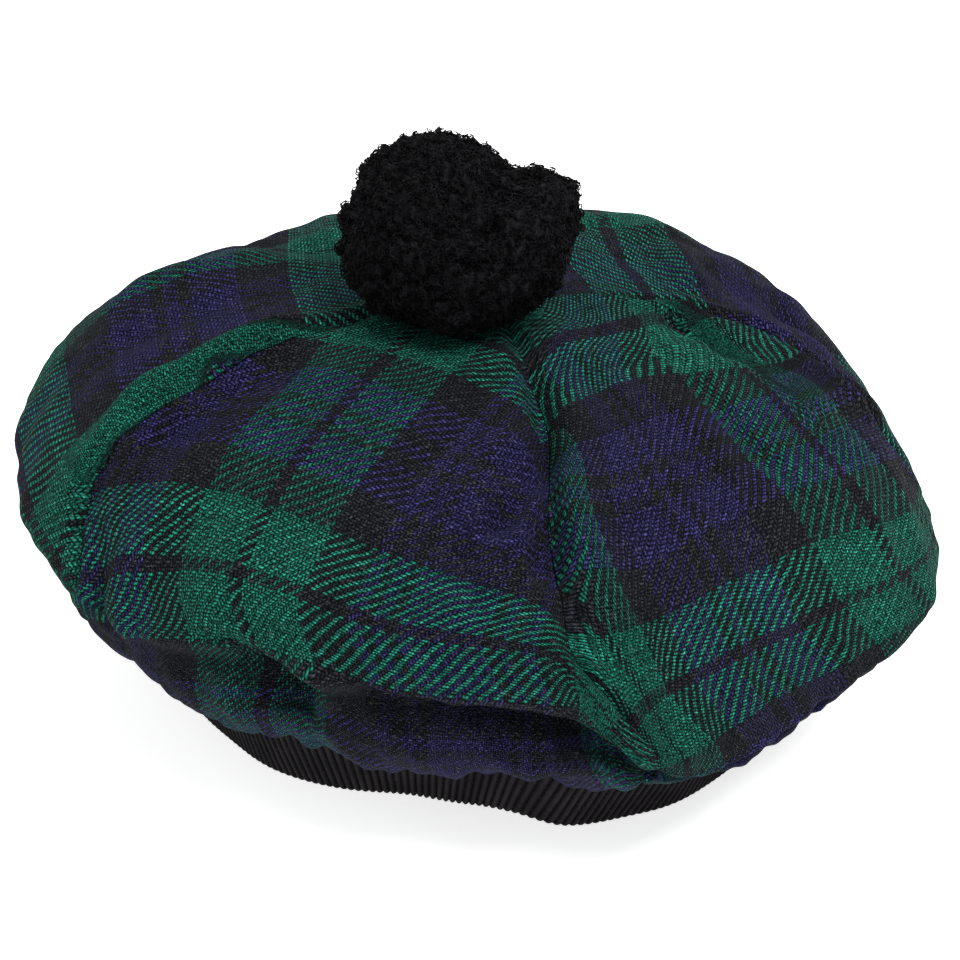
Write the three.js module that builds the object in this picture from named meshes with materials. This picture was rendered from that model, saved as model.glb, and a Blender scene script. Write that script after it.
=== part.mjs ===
// A tam o'shanter: a round soft bonnet sewn from four quarter panels of checked wool
// twill, gathered into a ribbed knitted headband, with a yarn pompom on its crown.
// Millimetres, +Z up, the front of the bonnet towards -Y. The headband stands on Z = 0.
import * as THREE from 'three';

// ---- driving sizes -------------------------------------------------------------
const CLOTH = 1.6;             // wall of the woven cloth with its seam turnings
const GAP = 0.4;               // clearance between neighbouring pieces
const CROWN_TOP = 112;         // height of the crown where the four seams meet
const CROWN_SHIFT = [-1, 26];  // how far that meeting point leans from the headband's centre
const TIE_HOLE = 3;            // radius left open where the pompom's tie passes through
const BAND_HEIGHT = 36;        // height of the knitted headband
const BAND_WALL = 3;           // thickness of the doubled rib knit
const HEM_HEIGHT = 33;         // height where the gathered cloth meets the headband
const HEM_CLEARANCE = 1.1;     // from the headband to the edge of the gathered cloth
const FLAT_RADIUS = 230;       // length of cloth from crown centre to hem, laid flat

// How far along the cloth, from 0 at the centre to 1 at the hem, each ring lies, and how
// many strips are made between it and the next one.
const RINGS = [
  { name: 'centre', t: 0.0, strips: 3 },
  { name: 'crown', t: 0.27, strips: 3 },
  { name: 'shoulder', t: 0.49, strips: 3 },
  { name: 'lip', t: 0.66, strips: 1 },
  { name: 'tuck', t: 0.71, strips: 2 },
  { name: 'puff', t: 0.78, strips: 2 },
  { name: 'belly', t: 0.86, strips: 3 },
  { name: 'hem', t: 1.0, strips: 0 },
];
const CROWN_REACH = 0.45;      // radius of the crown ring as a share of the lip's
const SHOULDER_REACH = 0.8;    // the same for the shoulder ring
const HEM_RISE = 40;           // slope of the cloth as it runs into the headband

// The bonnet's section at bearings round the head: degrees from the front towards +X,
// with the height or the radius of each ring there.
const SECTIONS = {
  columns: ['bearing', 'crownZ', 'shoulderZ', 'lipR', 'lipZ', 'tuckR', 'tuckZ', 'puffR', 'puffZ',
    'bellyR', 'bellyZ'],
  rows: [
    [-12, 111, 96, 128, 74, 120, 65, 121, 50, 108, 36],
    [11, 111, 95, 130, 71, 122, 62, 122, 48, 109, 34],
    [25, 111, 91, 137, 51, 128, 46, 127, 40, 112, 31],
    [50, 111, 92, 130, 51, 123, 45, 124, 39, 112, 31],
    [75, 112, 95, 139, 58, 132, 50, 128, 42, 114, 33],
    [100, 112, 98, 133, 66, 129, 56, 126, 46, 113, 36],
    [130, 111, 104, 135, 74, 129, 63, 124, 50, 112, 39],
    [160, 111, 105, 138, 76, 132, 65, 126, 52, 112, 40],
    [190, 110, 103, 138, 76, 132, 64, 127, 52, 112, 40],
    [220, 110, 101, 134, 73, 130, 63, 125, 51, 112, 40],
    [250, 111, 103, 141, 78, 134, 66, 127, 53, 112, 40],
    [280, 112, 98, 138, 66, 131, 56, 125, 47, 112, 37],
    [305, 112, 96, 129, 61, 127, 54, 124, 45, 112, 35],
    [330, 111, 95, 126, 72, 118, 63, 120, 49, 110, 35],
  ],
};

// Plan outline of the headband, which has gone slack and out of round.
const BAND_PLAN = {
  columns: ['bearing', 'radius'],
  rows: [
    [-90, 90], [-65, 89], [-50, 87], [-35, 84], [-14, 76], [2, 76], [11, 80.5], [20, 89], [35, 92],
    [52, 94], [70, 95], [90, 95], [120, 92], [150, 88], [180, 86], [210, 86], [240, 87],
  ],
};

// Bearing of each sewn seam at stations from the crown centre to the hem.
const SEAM_STATIONS = [0, 0.2, 0.42, 0.56, 0.66, 1];
const SEAMS = [
  { name: 'front', bearings: [27, 20, 13, 13, 23, 25] },
  { name: 'right', bearings: [112, 110, 98, 93, 93, 96] },
  { name: 'back', bearings: [200, 200, 199, 197, 196, 196] },
  { name: 'left', bearings: [286, 288, 290.5, 290.5, 299, 297] },
];
const PANELS = ['crown_panel_front_right', 'crown_panel_back_right', 'crown_panel_back_left',
  'crown_panel_front_left'];

// Ridges (height above zero) and valleys (below zero) pressed into the cloth. Each runs
// through three places given as bearing and distance from the centre along the cloth.
const FOLDS = {
  columns: ['name', 'bearing0', 't0', 'bearing1', 't1', 'bearing2', 't2', 'width', 'height'],
  rows: [
    ['front seam valley', 23, 0.1, 18, 0.24, 14, 0.38, 6, -5],
    ['front seam pocket', 14, 0.38, 12, 0.44, 12, 0.52, 5, -6],
    ['front seam ridge', 24, 0.26, 18, 0.42, 21, 0.58, 7, 3],
    ['front puff', 4, 0.34, 5, 0.41, 6, 0.48, 14, 3],
    ['front slanting dent', 14, 0.3, 7, 0.38, 2, 0.46, 6, -3],
    ['right seam ridge', 108, 0.29, 98, 0.43, 93, 0.6, 7, 4],
    ['right back ridge', 110, 0.3, 128, 0.34, 146, 0.42, 7, 4],
    ['right back valley', 122, 0.42, 115, 0.5, 112, 0.6, 9, -6],
    ['right inner crease', 98, 0.22, 90, 0.28, 84, 0.35, 6, -3],
    ['left seam ridge', -76, 0.15, -74, 0.38, -71, 0.6, 7, 4],
    ['left seam valley', -64, 0.22, -62, 0.38, -64, 0.54, 9, -4],
    ['left back ridge', -126, 0.33, -113, 0.43, -104, 0.58, 8, 3],
    ['left back valley', -104, 0.28, -96, 0.4, -90, 0.54, 9, -4],
    ['front left pinch', -34, 0.62, -27, 0.7, -20, 0.82, 9, -8],
  ],
};
const FOLD_STEPS = 24;         // pieces that a fold's course is measured in
const FOLD_FADE = 0.3;         // share of a fold's length over which it dies away

// Gathers: the spare cloth stands in puffs between the stitches that draw it in. They grow
// between two distances along the cloth. Height is for a puff of the full width in degrees,
// and level is the share of that height by which the stitches lie below the plain section.
const GATHERS = { start: 0.62, full: 0.87, height: 4.5, level: 0.6, fullWidth: 15 };
const STITCH_BEARINGS = [5, 12, 24.5, 32, 42, 52, 62, 76, 90, 104, 121, 138, 156, 173, 190, 208, 226,
  243, 259, 276, 292, 307, 334];

const PANEL_COLUMNS = 18;      // facets across one quarter panel
const BAND_COLUMNS = 72;

// Pompom: a ball of cut yarn, flattened where it sits on the crown.
const POMPOM = {
  centre: [-10.5, 16.5, 138.5], radii: [33, 31, 26.5], seatRadius: 22, columns: 24, rows: 14,
};
const POMPOM_LOBES = [
  { bearing: -91, rise: 59, spread: 38, height: 7.5 },
  { bearing: 82, rise: 30, spread: 32, height: 4.5 },
  { bearing: -74, rise: 4, spread: 30, height: 2.5 },
  { bearing: 10, rise: -20, spread: 30, height: 1.5 },
  { bearing: 160, rise: 10, spread: 40, height: 3 },
];

// ---- curves --------------------------------------------------------------------
const rad = THREE.MathUtils.degToRad;
const smooth = (x) => THREE.MathUtils.smoothstep(x, 0, 1);

// A smooth closed curve of one value against bearing, through a table's rows.
function roundCurve(bearings, values) {
  const order = bearings.map((bearing, k) => [rad((bearing + 360) % 360), values[k]]);
  order.sort((a, b) => a[0] - b[0]);
  const turn = 2 * Math.PI;
  const at = (k) => {
    const n = order.length;
    const lap = Math.floor(k / n);
    const [angle, value] = order[k - lap * n];
    return [angle + lap * turn, value];
  };
  return (angle) => {
    const a = ((angle % turn) + turn) % turn;
    let k = -1;
    while (at(k + 1)[0] <= a) k += 1;
    const [p0, p1, p2, p3] = [at(k - 1), at(k), at(k + 1), at(k + 2)];
    return hermite(p0, p1, p2, p3, (a - p1[0]) / (p2[0] - p1[0]));
  };
}

// Cubic between p1 and p2, with slopes taken from the neighbours on each side.
function hermite(p0, p1, p2, p3, f) {
  const step = p2[0] - p1[0];
  const slope1 = ((p2[1] - p0[1]) / (p2[0] - p0[0])) * step;
  const slope2 = ((p3[1] - p1[1]) / (p3[0] - p1[0])) * step;
  const f2 = f * f;
  const f3 = f2 * f;
  return (2 * f3 - 3 * f2 + 1) * p1[1] + (f3 - 2 * f2 + f) * slope1
    + (3 * f2 - 2 * f3) * p2[1] + (f3 - f2) * slope2;
}

const column = (table, name) => table.rows.map((row) => row[table.columns.indexOf(name)]);
const bandRadius = roundCurve(column(BAND_PLAN, 'bearing'), column(BAND_PLAN, 'radius'));
const section = {};
for (const name of SECTIONS.columns.slice(1)) {
  section[name] = roundCurve(column(SECTIONS, 'bearing'), column(SECTIONS, name));
}

// Radius and height of each ring at one bearing.
function ringPoints(angle) {
  const lip = section.lipR(angle);
  return [
    [0, CROWN_TOP],
    [CROWN_REACH * lip, section.crownZ(angle)],
    [SHOULDER_REACH * lip, section.shoulderZ(angle)],
    [lip, section.lipZ(angle)],
    [section.tuckR(angle), section.tuckZ(angle)],
    [section.puffR(angle), section.puffZ(angle)],
    [section.bellyR(angle), section.bellyZ(angle)],
    [bandRadius(angle) + HEM_CLEARANCE, HEM_HEIGHT],
  ];
}

// The cloth's middle line at one bearing: radius and height at t along it.
function sectionPoint(angle, t) {
  const points = ringPoints(angle);
  const last = RINGS.length - 1;
  let k = 0;
  while (k < last - 1 && t > RINGS[k + 1].t) k += 1;
  const slope = (axis, j) => {
    if (j === 0) return axis === 0 ? (points[1][0] - points[0][0]) / RINGS[1].t : 0;
    const from = Math.max(j - 1, 0);
    const to = Math.min(j + 1, last);
    const mean = (points[to][axis] - points[from][axis]) / (RINGS[to].t - RINGS[from].t);
    if (j < last) return mean;
    return axis === 0 ? mean / 2 : mean + HEM_RISE;
  };
  const span = RINGS[k + 1].t - RINGS[k].t;
  const f = (t - RINGS[k].t) / span;
  const blend = (axis) => {
    const a = points[k][axis];
    const b = points[k + 1][axis];
    const f2 = f * f;
    const f3 = f2 * f;
    return (2 * f3 - 3 * f2 + 1) * a + (f3 - 2 * f2 + f) * slope(axis, k) * span
      + (3 * f2 - 2 * f3) * b + (f3 - f2) * slope(axis, k + 1) * span;
  };
  return [blend(0), blend(1)];
}

// The crown centre leans back, and the lean dies away towards the lip.
function leanAt(t) {
  return smooth(THREE.MathUtils.clamp(1 - t / 0.62, 0, 1));
}

function plainSurface(angle, t) {
  const [radius, height] = sectionPoint(angle, t);
  const lean = leanAt(t);
  return new THREE.Vector3(
    radius * Math.sin(angle) + CROWN_SHIFT[0] * lean,
    -radius * Math.cos(angle) + CROWN_SHIFT[1] * lean,
    height,
  );
}

// ---- folds and gathers -----------------------------------------------------------
// Place on the flat cloth, as if the bonnet were opened out into a disc.
const flat = (angle, t) => [FLAT_RADIUS * t * Math.sin(angle), FLAT_RADIUS * t * Math.cos(angle)];

const folds = FOLDS.rows.map((row) => {
  const value = (name) => row[FOLDS.columns.indexOf(name)];
  const ends = [0, 1, 2].map((k) => flat(rad(value(`bearing${k}`)), value(`t${k}`)));
  const course = [];
  for (let k = 0; k <= FOLD_STEPS; k += 1) {
    const u = k / FOLD_STEPS;
    const weights = [2 * (u - 0.5) * (u - 1), -4 * u * (u - 1), 2 * u * (u - 0.5)];
    course.push([0, 1].map((axis) => weights.reduce((sum, w, j) => sum + w * ends[j][axis], 0)));
  }
  return { course, width: value('width'), height: value('height') };
});

function foldHeight(angle, t) {
  const [x, y] = flat(angle, t);
  let total = 0;
  for (const { course, width, height } of folds) {
    let nearest = Infinity;
    let along = 0;
    for (let k = 0; k < FOLD_STEPS; k += 1) {
      const [ax, ay] = course[k];
      const dx = course[k + 1][0] - ax;
      const dy = course[k + 1][1] - ay;
      const share = ((x - ax) * dx + (y - ay) * dy) / (dx * dx + dy * dy);
      const f = THREE.MathUtils.clamp(share, 0, 1);
      const distance = Math.hypot(x - ax - f * dx, y - ay - f * dy);
      if (distance < nearest) {
        nearest = distance;
        along = (k + f) / FOLD_STEPS;
      }
    }
    const fade = Math.max(smooth(Math.min(along, 1 - along) / FOLD_FADE), 0.25);
    total += height * fade * Math.exp(-((nearest / width) ** 2));
  }
  return total;
}

// How high the cloth stands between two neighbouring stitches, as a share of a full puff.
function puffShare(angle) {
  const turn = 360;
  const first = STITCH_BEARINGS[0];
  const bearing = first + ((((THREE.MathUtils.radToDeg(angle) - first) % turn) + turn) % turn);
  let k = STITCH_BEARINGS.length - 1;
  while (STITCH_BEARINGS[k] > bearing) k -= 1;
  const next = k + 1 < STITCH_BEARINGS.length ? STITCH_BEARINGS[k + 1] : first + turn;
  const width = next - STITCH_BEARINGS[k];
  const across = THREE.MathUtils.clamp((bearing - STITCH_BEARINGS[k]) / width, 0, 1);
  return Math.min(width / GATHERS.fullWidth, 1) * Math.sin(Math.PI * across) ** 0.7;
}

function gatherHeight(angle, t) {
  const grow = smooth((t - GATHERS.start) / (GATHERS.full - GATHERS.start));
  const flatten = 1 - 0.5 * THREE.MathUtils.clamp((t - 0.9) / 0.1, 0, 1);
  return grow * (puffShare(angle) - GATHERS.level) * GATHERS.height * flatten;
}

function normalOf(surface, angle, t, stepAngle = 0.012, stepT = 0.006) {
  const across = surface(angle + stepAngle, t).sub(surface(angle - stepAngle, t));
  const high = Math.min(t + stepT, 1);
  const low = Math.max(t - stepT, 0.004);
  const down = surface(angle, high).sub(surface(angle, low));
  return down.cross(across).normalize();
}

// Outer face of the cloth.
function clothSurface(angle, t) {
  const lift = foldHeight(angle, t) + gatherHeight(angle, t);
  return plainSurface(angle, t).addScaledVector(normalOf(plainSurface, angle, t), lift);
}

// ---- closed meshes -----------------------------------------------------------------
function solid(points, quads) {
  const geometry = new THREE.BufferGeometry();
  const index = quads.flatMap(([a, b, c, d]) => [a, b, c, a, c, d]);
  geometry.setAttribute('position', new THREE.Float32BufferAttribute(points.flatMap((p) => p.toArray()), 3));
  geometry.setIndex(index.filter((_, k) => {
    const first = k - (k % 3);
    const [a, b, c] = index.slice(first, first + 3);
    return a !== b && b !== c && c !== a;
  }));
  geometry.computeVertexNormals();
  return geometry;
}

// A sheet with a wall: outer and inner are grids of points [column][row].
function walledSheet(outer, inner) {
  const columns = outer.length;
  const rows = outer[0].length;
  const points = [...outer.flat(), ...inner.flat()];
  const out = (i, j) => i * rows + j;
  const inn = (i, j) => columns * rows + i * rows + j;
  const quads = [];
  for (let i = 0; i < columns - 1; i += 1) {
    for (let j = 0; j < rows - 1; j += 1) {
      quads.push([out(i, j), out(i, j + 1), out(i + 1, j + 1), out(i + 1, j)]);
      quads.push([inn(i, j), inn(i + 1, j), inn(i + 1, j + 1), inn(i, j + 1)]);
    }
    const bottom = rows - 1;
    quads.push([out(i, 0), out(i + 1, 0), inn(i + 1, 0), inn(i, 0)]);
    quads.push([out(i, bottom), inn(i, bottom), inn(i + 1, bottom), out(i + 1, bottom)]);
  }
  for (let j = 0; j < rows - 1; j += 1) {
    const side = columns - 1;
    quads.push([out(0, j), inn(0, j), inn(0, j + 1), out(0, j + 1)]);
    quads.push([out(side, j), out(side, j + 1), inn(side, j + 1), inn(side, j)]);
  }
  return solid(points, quads);
}

// ---- crown panels -------------------------------------------------------------------
function seamBearing(seam, t) {
  const last = SEAM_STATIONS.length - 1;
  let k = 0;
  while (k < last - 1 && t > SEAM_STATIONS[k + 1]) k += 1;
  const f = (t - SEAM_STATIONS[k]) / (SEAM_STATIONS[k + 1] - SEAM_STATIONS[k]);
  return rad(THREE.MathUtils.lerp(seam.bearings[k], seam.bearings[k + 1], smooth(f)));
}

// Stations along the cloth, from the tie hole to the hem.
function clothStations() {
  const stations = [];
  const holeT = (TIE_HOLE * RINGS[1].t) / (CROWN_REACH * SECTIONS.rows[0][3]);
  for (let k = 0; k < RINGS.length - 1; k += 1) {
    const from = k === 0 ? holeT : RINGS[k].t;
    for (let j = 0; j < RINGS[k].strips; j += 1) {
      stations.push(THREE.MathUtils.lerp(from, RINGS[k + 1].t, j / RINGS[k].strips));
    }
  }
  stations.push(1);
  return stations;
}

function panelGeometry(index) {
  const start = SEAMS[index];
  const end = SEAMS[(index + 1) % SEAMS.length];
  const lap = index + 1 === SEAMS.length ? 2 * Math.PI : 0;
  const stations = clothStations();
  const outer = [];
  const inner = [];
  for (let i = 0; i <= PANEL_COLUMNS; i += 1) {
    const outerLine = [];
    const innerLine = [];
    for (const t of stations) {
      const inset = GAP / 2 / sectionPoint(seamBearing(start, t), t)[0];
      const from = seamBearing(start, t) + inset;
      const to = seamBearing(end, t) + lap - inset;
      const angle = THREE.MathUtils.lerp(from, to, i / PANEL_COLUMNS);
      const point = clothSurface(angle, t);
      outerLine.push(point);
      innerLine.push(point.clone().addScaledVector(normalOf(clothSurface, angle, t), -CLOTH));
    }
    outer.push(outerLine);
    inner.push(innerLine);
  }
  return walledSheet(outer, inner);
}

// ---- headband -------------------------------------------------------------------------
function bandGeometry() {
  const levels = [0, BAND_HEIGHT / 2, BAND_HEIGHT];
  const points = [];
  for (let i = 0; i < BAND_COLUMNS; i += 1) {
    const angle = (i / BAND_COLUMNS) * 2 * Math.PI;
    const ring = (radius, z) => points.push(
      new THREE.Vector3(radius * Math.sin(angle), -radius * Math.cos(angle), z),
    );
    levels.forEach((z) => ring(bandRadius(angle), z));
    [...levels].reverse().forEach((z) => ring(bandRadius(angle) - BAND_WALL, z));
  }
  const around = 2 * levels.length;
  const at = (i, j) => (i % BAND_COLUMNS) * around + (j % around);
  const quads = [];
  for (let i = 0; i < BAND_COLUMNS; i += 1) {
    for (let j = 0; j < around; j += 1) {
      quads.push([at(i, j), at(i + 1, j), at(i + 1, j + 1), at(i, j + 1)]);
    }
  }
  return solid(points, quads);
}

// ---- pompom -----------------------------------------------------------------------------
function pompomRadius(direction) {
  let swell = 0;
  for (const { bearing, rise, spread, height } of POMPOM_LOBES) {
    const lobe = new THREE.Vector3(
      Math.sin(rad(bearing)) * Math.cos(rad(rise)),
      -Math.cos(rad(bearing)) * Math.cos(rad(rise)),
      Math.sin(rad(rise)),
    );
    swell += height * Math.exp(-((direction.angleTo(lobe) / rad(spread)) ** 2));
  }
  return swell;
}

// The highest place of the cloth that the pompom's underside can touch.
function crownHeightUnderPompom() {
  let highest = CROWN_TOP;
  for (let i = 0; i < 48; i += 1) {
    for (let j = 1; j <= 12; j += 1) {
      const point = clothSurface((i / 48) * 2 * Math.PI, (j / 12) * 0.2);
      const reach = Math.hypot(point.x - POMPOM.centre[0], point.y - POMPOM.centre[1]);
      if (reach < POMPOM.seatRadius) highest = Math.max(highest, point.z);
    }
  }
  return highest;
}

function pompomGeometry() {
  const { centre, radii, columns, rows } = POMPOM;
  const seat = crownHeightUnderPompom() + GAP;
  const points = [];
  const place = (bearing, rise) => {
    const direction = new THREE.Vector3(
      Math.sin(bearing) * Math.cos(rise),
      -Math.cos(bearing) * Math.cos(rise),
      Math.sin(rise),
    );
    const swell = pompomRadius(direction);
    const point = new THREE.Vector3(...[0, 1, 2].map((axis) => (
      centre[axis] + direction.getComponent(axis) * (radii[axis] + swell)
    )));
    point.z = Math.max(point.z, seat);
    points.push(point);
  };
  place(0, -Math.PI / 2);
  for (let j = 1; j < rows; j += 1) {
    for (let i = 0; i < columns; i += 1) {
      place((i / columns) * 2 * Math.PI, (j / rows - 0.5) * Math.PI);
    }
  }
  place(0, Math.PI / 2);
  const at = (i, j) => {
    if (j === 0) return 0;
    if (j === rows) return points.length - 1;
    return 1 + (j - 1) * columns + (i % columns);
  };
  const quads = [];
  for (let j = 0; j < rows; j += 1) {
    for (let i = 0; i < columns; i += 1) {
      quads.push([at(i, j), at(i + 1, j), at(i + 1, j + 1), at(i, j + 1)]);
    }
  }
  return solid(points, quads);
}

// ---- assembly -----------------------------------------------------------------------------
function piece(name, geometry, colour, roughness) {
  const material = new THREE.MeshStandardMaterial({ color: colour, roughness, metalness: 0 });
  const mesh = new THREE.Mesh(geometry, material);
  mesh.name = name;
  return mesh;
}

const bonnet = new THREE.Group();
PANELS.forEach((name, index) => {
  bonnet.add(piece(name, panelGeometry(index), index % 2 ? 0x16334a : 0x14503f, 0.95));
});
bonnet.add(piece('headband', bandGeometry(), 0x17161a, 0.9));
bonnet.add(piece('pompom', pompomGeometry(), 0x101014, 1));

// The origin is the middle of the whole bonnet, on the surface it stands on.
const box = new THREE.Box3().setFromObject(bonnet);
const middle = box.getCenter(new THREE.Vector3());
bonnet.position.set(-middle.x, -middle.y, 0);

export default bonnet;
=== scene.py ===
# %% [markdown]
# # A tam o'shanter in checked wool
# The bonnet is sewn from four quarter panels of twill, gathered into a ribbed knitted
# headband, with a ball of cut yarn on its crown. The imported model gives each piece's place
# and size. This script makes the soft surfaces that stand for those pieces, and everything
# is in metres, in that model's own frame.

# %% Load the frame
import math

import bpy
import numpy as np
from mathutils import Matrix, Vector, noise


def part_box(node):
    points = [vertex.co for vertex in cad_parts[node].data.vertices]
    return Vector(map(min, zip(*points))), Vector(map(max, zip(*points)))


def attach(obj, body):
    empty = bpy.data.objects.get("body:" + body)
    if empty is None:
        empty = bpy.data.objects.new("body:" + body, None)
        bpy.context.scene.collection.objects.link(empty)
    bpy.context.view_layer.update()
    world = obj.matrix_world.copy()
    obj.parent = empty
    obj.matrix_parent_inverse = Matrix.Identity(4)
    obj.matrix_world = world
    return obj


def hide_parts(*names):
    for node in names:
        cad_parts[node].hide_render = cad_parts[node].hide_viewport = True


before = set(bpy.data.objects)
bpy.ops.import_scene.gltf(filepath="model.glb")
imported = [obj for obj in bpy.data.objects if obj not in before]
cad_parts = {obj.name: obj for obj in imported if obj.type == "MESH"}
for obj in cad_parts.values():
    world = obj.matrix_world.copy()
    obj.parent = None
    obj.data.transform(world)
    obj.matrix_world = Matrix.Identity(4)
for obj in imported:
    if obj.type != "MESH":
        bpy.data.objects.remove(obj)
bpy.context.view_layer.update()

MM = 0.001

# %% [markdown]
# ## Where the drawing's own axis lies
# The bonnet is drawn round the middle of the head, and the frame's origin is the middle of
# the whole box. The headband is the one piece whose drawing is a plain outline, so comparing
# its box with that outline gives the step between the two. A closed curve through a few
# bearings and radii is enough for an outline like this, and it is smooth by itself.

# %% Closed curves of a value against bearing
TURN = 2 * math.pi


def hermite(low, high, slope_low, slope_high, f):
    """Cubic from low to high, with slopes given for the whole step."""
    f2 = f * f
    f3 = f2 * f
    start = (2 * f3 - 3 * f2 + 1) * low + (f3 - 2 * f2 + f) * slope_low
    return start + (3 * f2 - 2 * f3) * high + (f3 - f2) * slope_high


def round_curve(bearings, values):
    """A smooth closed curve through values at bearings, as a function of the angle."""
    angles = np.radians(np.mod(bearings, 360.0))
    order = np.argsort(angles)
    angles = angles[order]
    values = np.asarray(values, float)[order]
    a = np.concatenate([angles[-2:] - TURN, angles, angles[:3] + TURN])
    v = np.concatenate([values[-2:], values, values[:3]])
    slopes = np.zeros(len(a))
    slopes[1:-1] = (v[2:] - v[:-2]) / (a[2:] - a[:-2])

    def curve(angle):
        x = np.mod(angle, TURN)
        k = np.searchsorted(a, x, side="right") - 1
        step = a[k + 1] - a[k]
        return hermite(v[k], v[k + 1], slopes[k] * step, slopes[k + 1] * step, (x - a[k]) / step)

    return curve


# %% The headband's outline, and the step to the frame
BAND_PLAN = [  # bearing in degrees from the front towards +X, radius in mm
    (-90, 90), (-65, 89), (-50, 87), (-35, 84), (-14, 76), (2, 76), (11, 80.5), (20, 89), (35, 92),
    (52, 94), (70, 95), (90, 95), (120, 92), (150, 88), (180, 86), (210, 86), (240, 87),
]
band_radius = round_curve(*zip(*BAND_PLAN))
BAND_FACETS = 72
BAND_LOW, BAND_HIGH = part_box("headband")


def bearing_point(angle, radius):
    """Plan position in mm of a bearing and a radius."""
    return np.stack([radius * np.sin(angle), -radius * np.cos(angle)], -1)


facets = np.arange(BAND_FACETS) / BAND_FACETS * TURN
outline = bearing_point(facets, band_radius(facets))
drawn_middle = (outline.min(0) + outline.max(0)) / 2
SHIFT = np.array([
    (BAND_LOW.x + BAND_HIGH.x) / 2 - drawn_middle[0] * MM,
    (BAND_LOW.y + BAND_HIGH.y) / 2 - drawn_middle[1] * MM,
    BAND_LOW.z,
])
print("step from the head's middle to the origin, mm:", np.round(SHIFT / MM, 2))


def to_frame(points_mm):
    """Points drawn in mm round the head's middle, in metres in the frame."""
    return np.asarray(points_mm) * MM + SHIFT


# %% [markdown]
# ## Camera
# The camera looks from the front and above. A long lens from about a metre keeps the round
# crown's outline calm. It is made before anything else, so that every piece can be judged
# through it from the start.

# %% Camera
ELEVATION = math.radians(31)
ROLL = math.radians(3.5)
DISTANCE = 0.95
LENS = 118.1
SENSOR = 36
LENS_SHIFT = (-0.00104, 0.01042)  # sideways and up, as shares of the frame's width
AIM = Vector(to_frame([0, 0, 62]))
view_line = Vector((0, math.cos(ELEVATION), -math.sin(ELEVATION)))
level = Vector((1, 0, 0))
upright = level.cross(view_line)
right = math.cos(ROLL) * level + math.sin(ROLL) * upright
upward = -math.sin(ROLL) * level + math.cos(ROLL) * upright

camera_data = bpy.data.cameras.new("camera")
camera_data.sensor_width = SENSOR
camera_data.lens = LENS
camera_data.shift_x = LENS_SHIFT[0]
camera_data.shift_y = LENS_SHIFT[1]
camera_data.clip_start = 0.01
camera = bpy.data.objects.new("camera", camera_data)
turned = Matrix([right, upward, -view_line]).transposed().to_4x4()
camera.matrix_world = Matrix.Translation(AIM - view_line * DISTANCE) @ turned
bpy.context.scene.collection.objects.link(camera)
bpy.context.scene.camera = camera
print("camera at", tuple(round(c, 3) for c in camera.location))

# %% [markdown]
# ## Nodes by name
# Every finish is built from nodes. A few helpers keep that readable: they add a node and fill
# its inputs with values or with other nodes' sockets, do arithmetic, mix colours, move a
# value to another range, and make or place a group.

# %% Node helpers
def fill(tree, socket, value):
    """Puts a value or a link into a node's input."""
    if isinstance(value, bpy.types.NodeSocket):
        tree.links.new(value, socket)
    else:
        socket.default_value = value


def add(tree, kind, inputs=None, **settings):
    """A new node with its settings, and its inputs by name or number."""
    made = tree.nodes.new(kind)
    for name, value in settings.items():
        setattr(made, name, value)
    for key, value in (inputs or {}).items():
        fill(tree, made.inputs[key], value)
    return made


def maths(tree, operation, *values):
    """The result of one Math node."""
    made = tree.nodes.new("ShaderNodeMath")
    made.operation = operation
    for socket, value in zip(made.inputs, values):
        fill(tree, socket, value)
    return made.outputs[0]


def mix_colour(tree, share, first, second, blend="MIX"):
    """The result of mixing two colours."""
    made = tree.nodes.new("ShaderNodeMix")
    made.data_type = "RGBA"
    made.blend_type = blend
    fill(tree, made.inputs["Factor"], share)
    fill(tree, made.inputs["A"], first)
    fill(tree, made.inputs["B"], second)
    return made.outputs["Result"]


def remap(tree, value, low, high, to_low, to_high):
    """A value moved from one range to another, and held inside it."""
    inputs = {"Value": value, "From Min": low, "From Max": high, "To Min": to_low, "To Max": to_high}
    return add(tree, "ShaderNodeMapRange", inputs).outputs["Result"]


SOCKETS = {
    "value": "NodeSocketFloat", "vector": "NodeSocketVector", "colour": "NodeSocketColor",
    "count": "NodeSocketInt", "shape": "NodeSocketGeometry", "material": "NodeSocketMaterial",
}


def new_group(name, family, inputs, outputs):
    """An empty node group with named sockets, and its input and output nodes."""
    group = bpy.data.node_groups.new(name, family)
    for socket_name, kind, start in inputs:
        socket = group.interface.new_socket(socket_name, in_out="INPUT", socket_type=SOCKETS[kind])
        if start is not None:
            socket.default_value = start
    for socket_name, kind in outputs:
        group.interface.new_socket(socket_name, in_out="OUTPUT", socket_type=SOCKETS[kind])
    return group, group.nodes.new("NodeGroupInput").outputs, group.nodes.new("NodeGroupOutput")


def use_group(tree, group, inputs):
    """A placed node group with its inputs filled."""
    placed = tree.nodes.new("ShaderNodeGroup")
    placed.node_tree = group
    for key, value in inputs.items():
        fill(tree, placed.inputs[key], value)
    return placed.outputs


print("node helpers ready")
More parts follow.
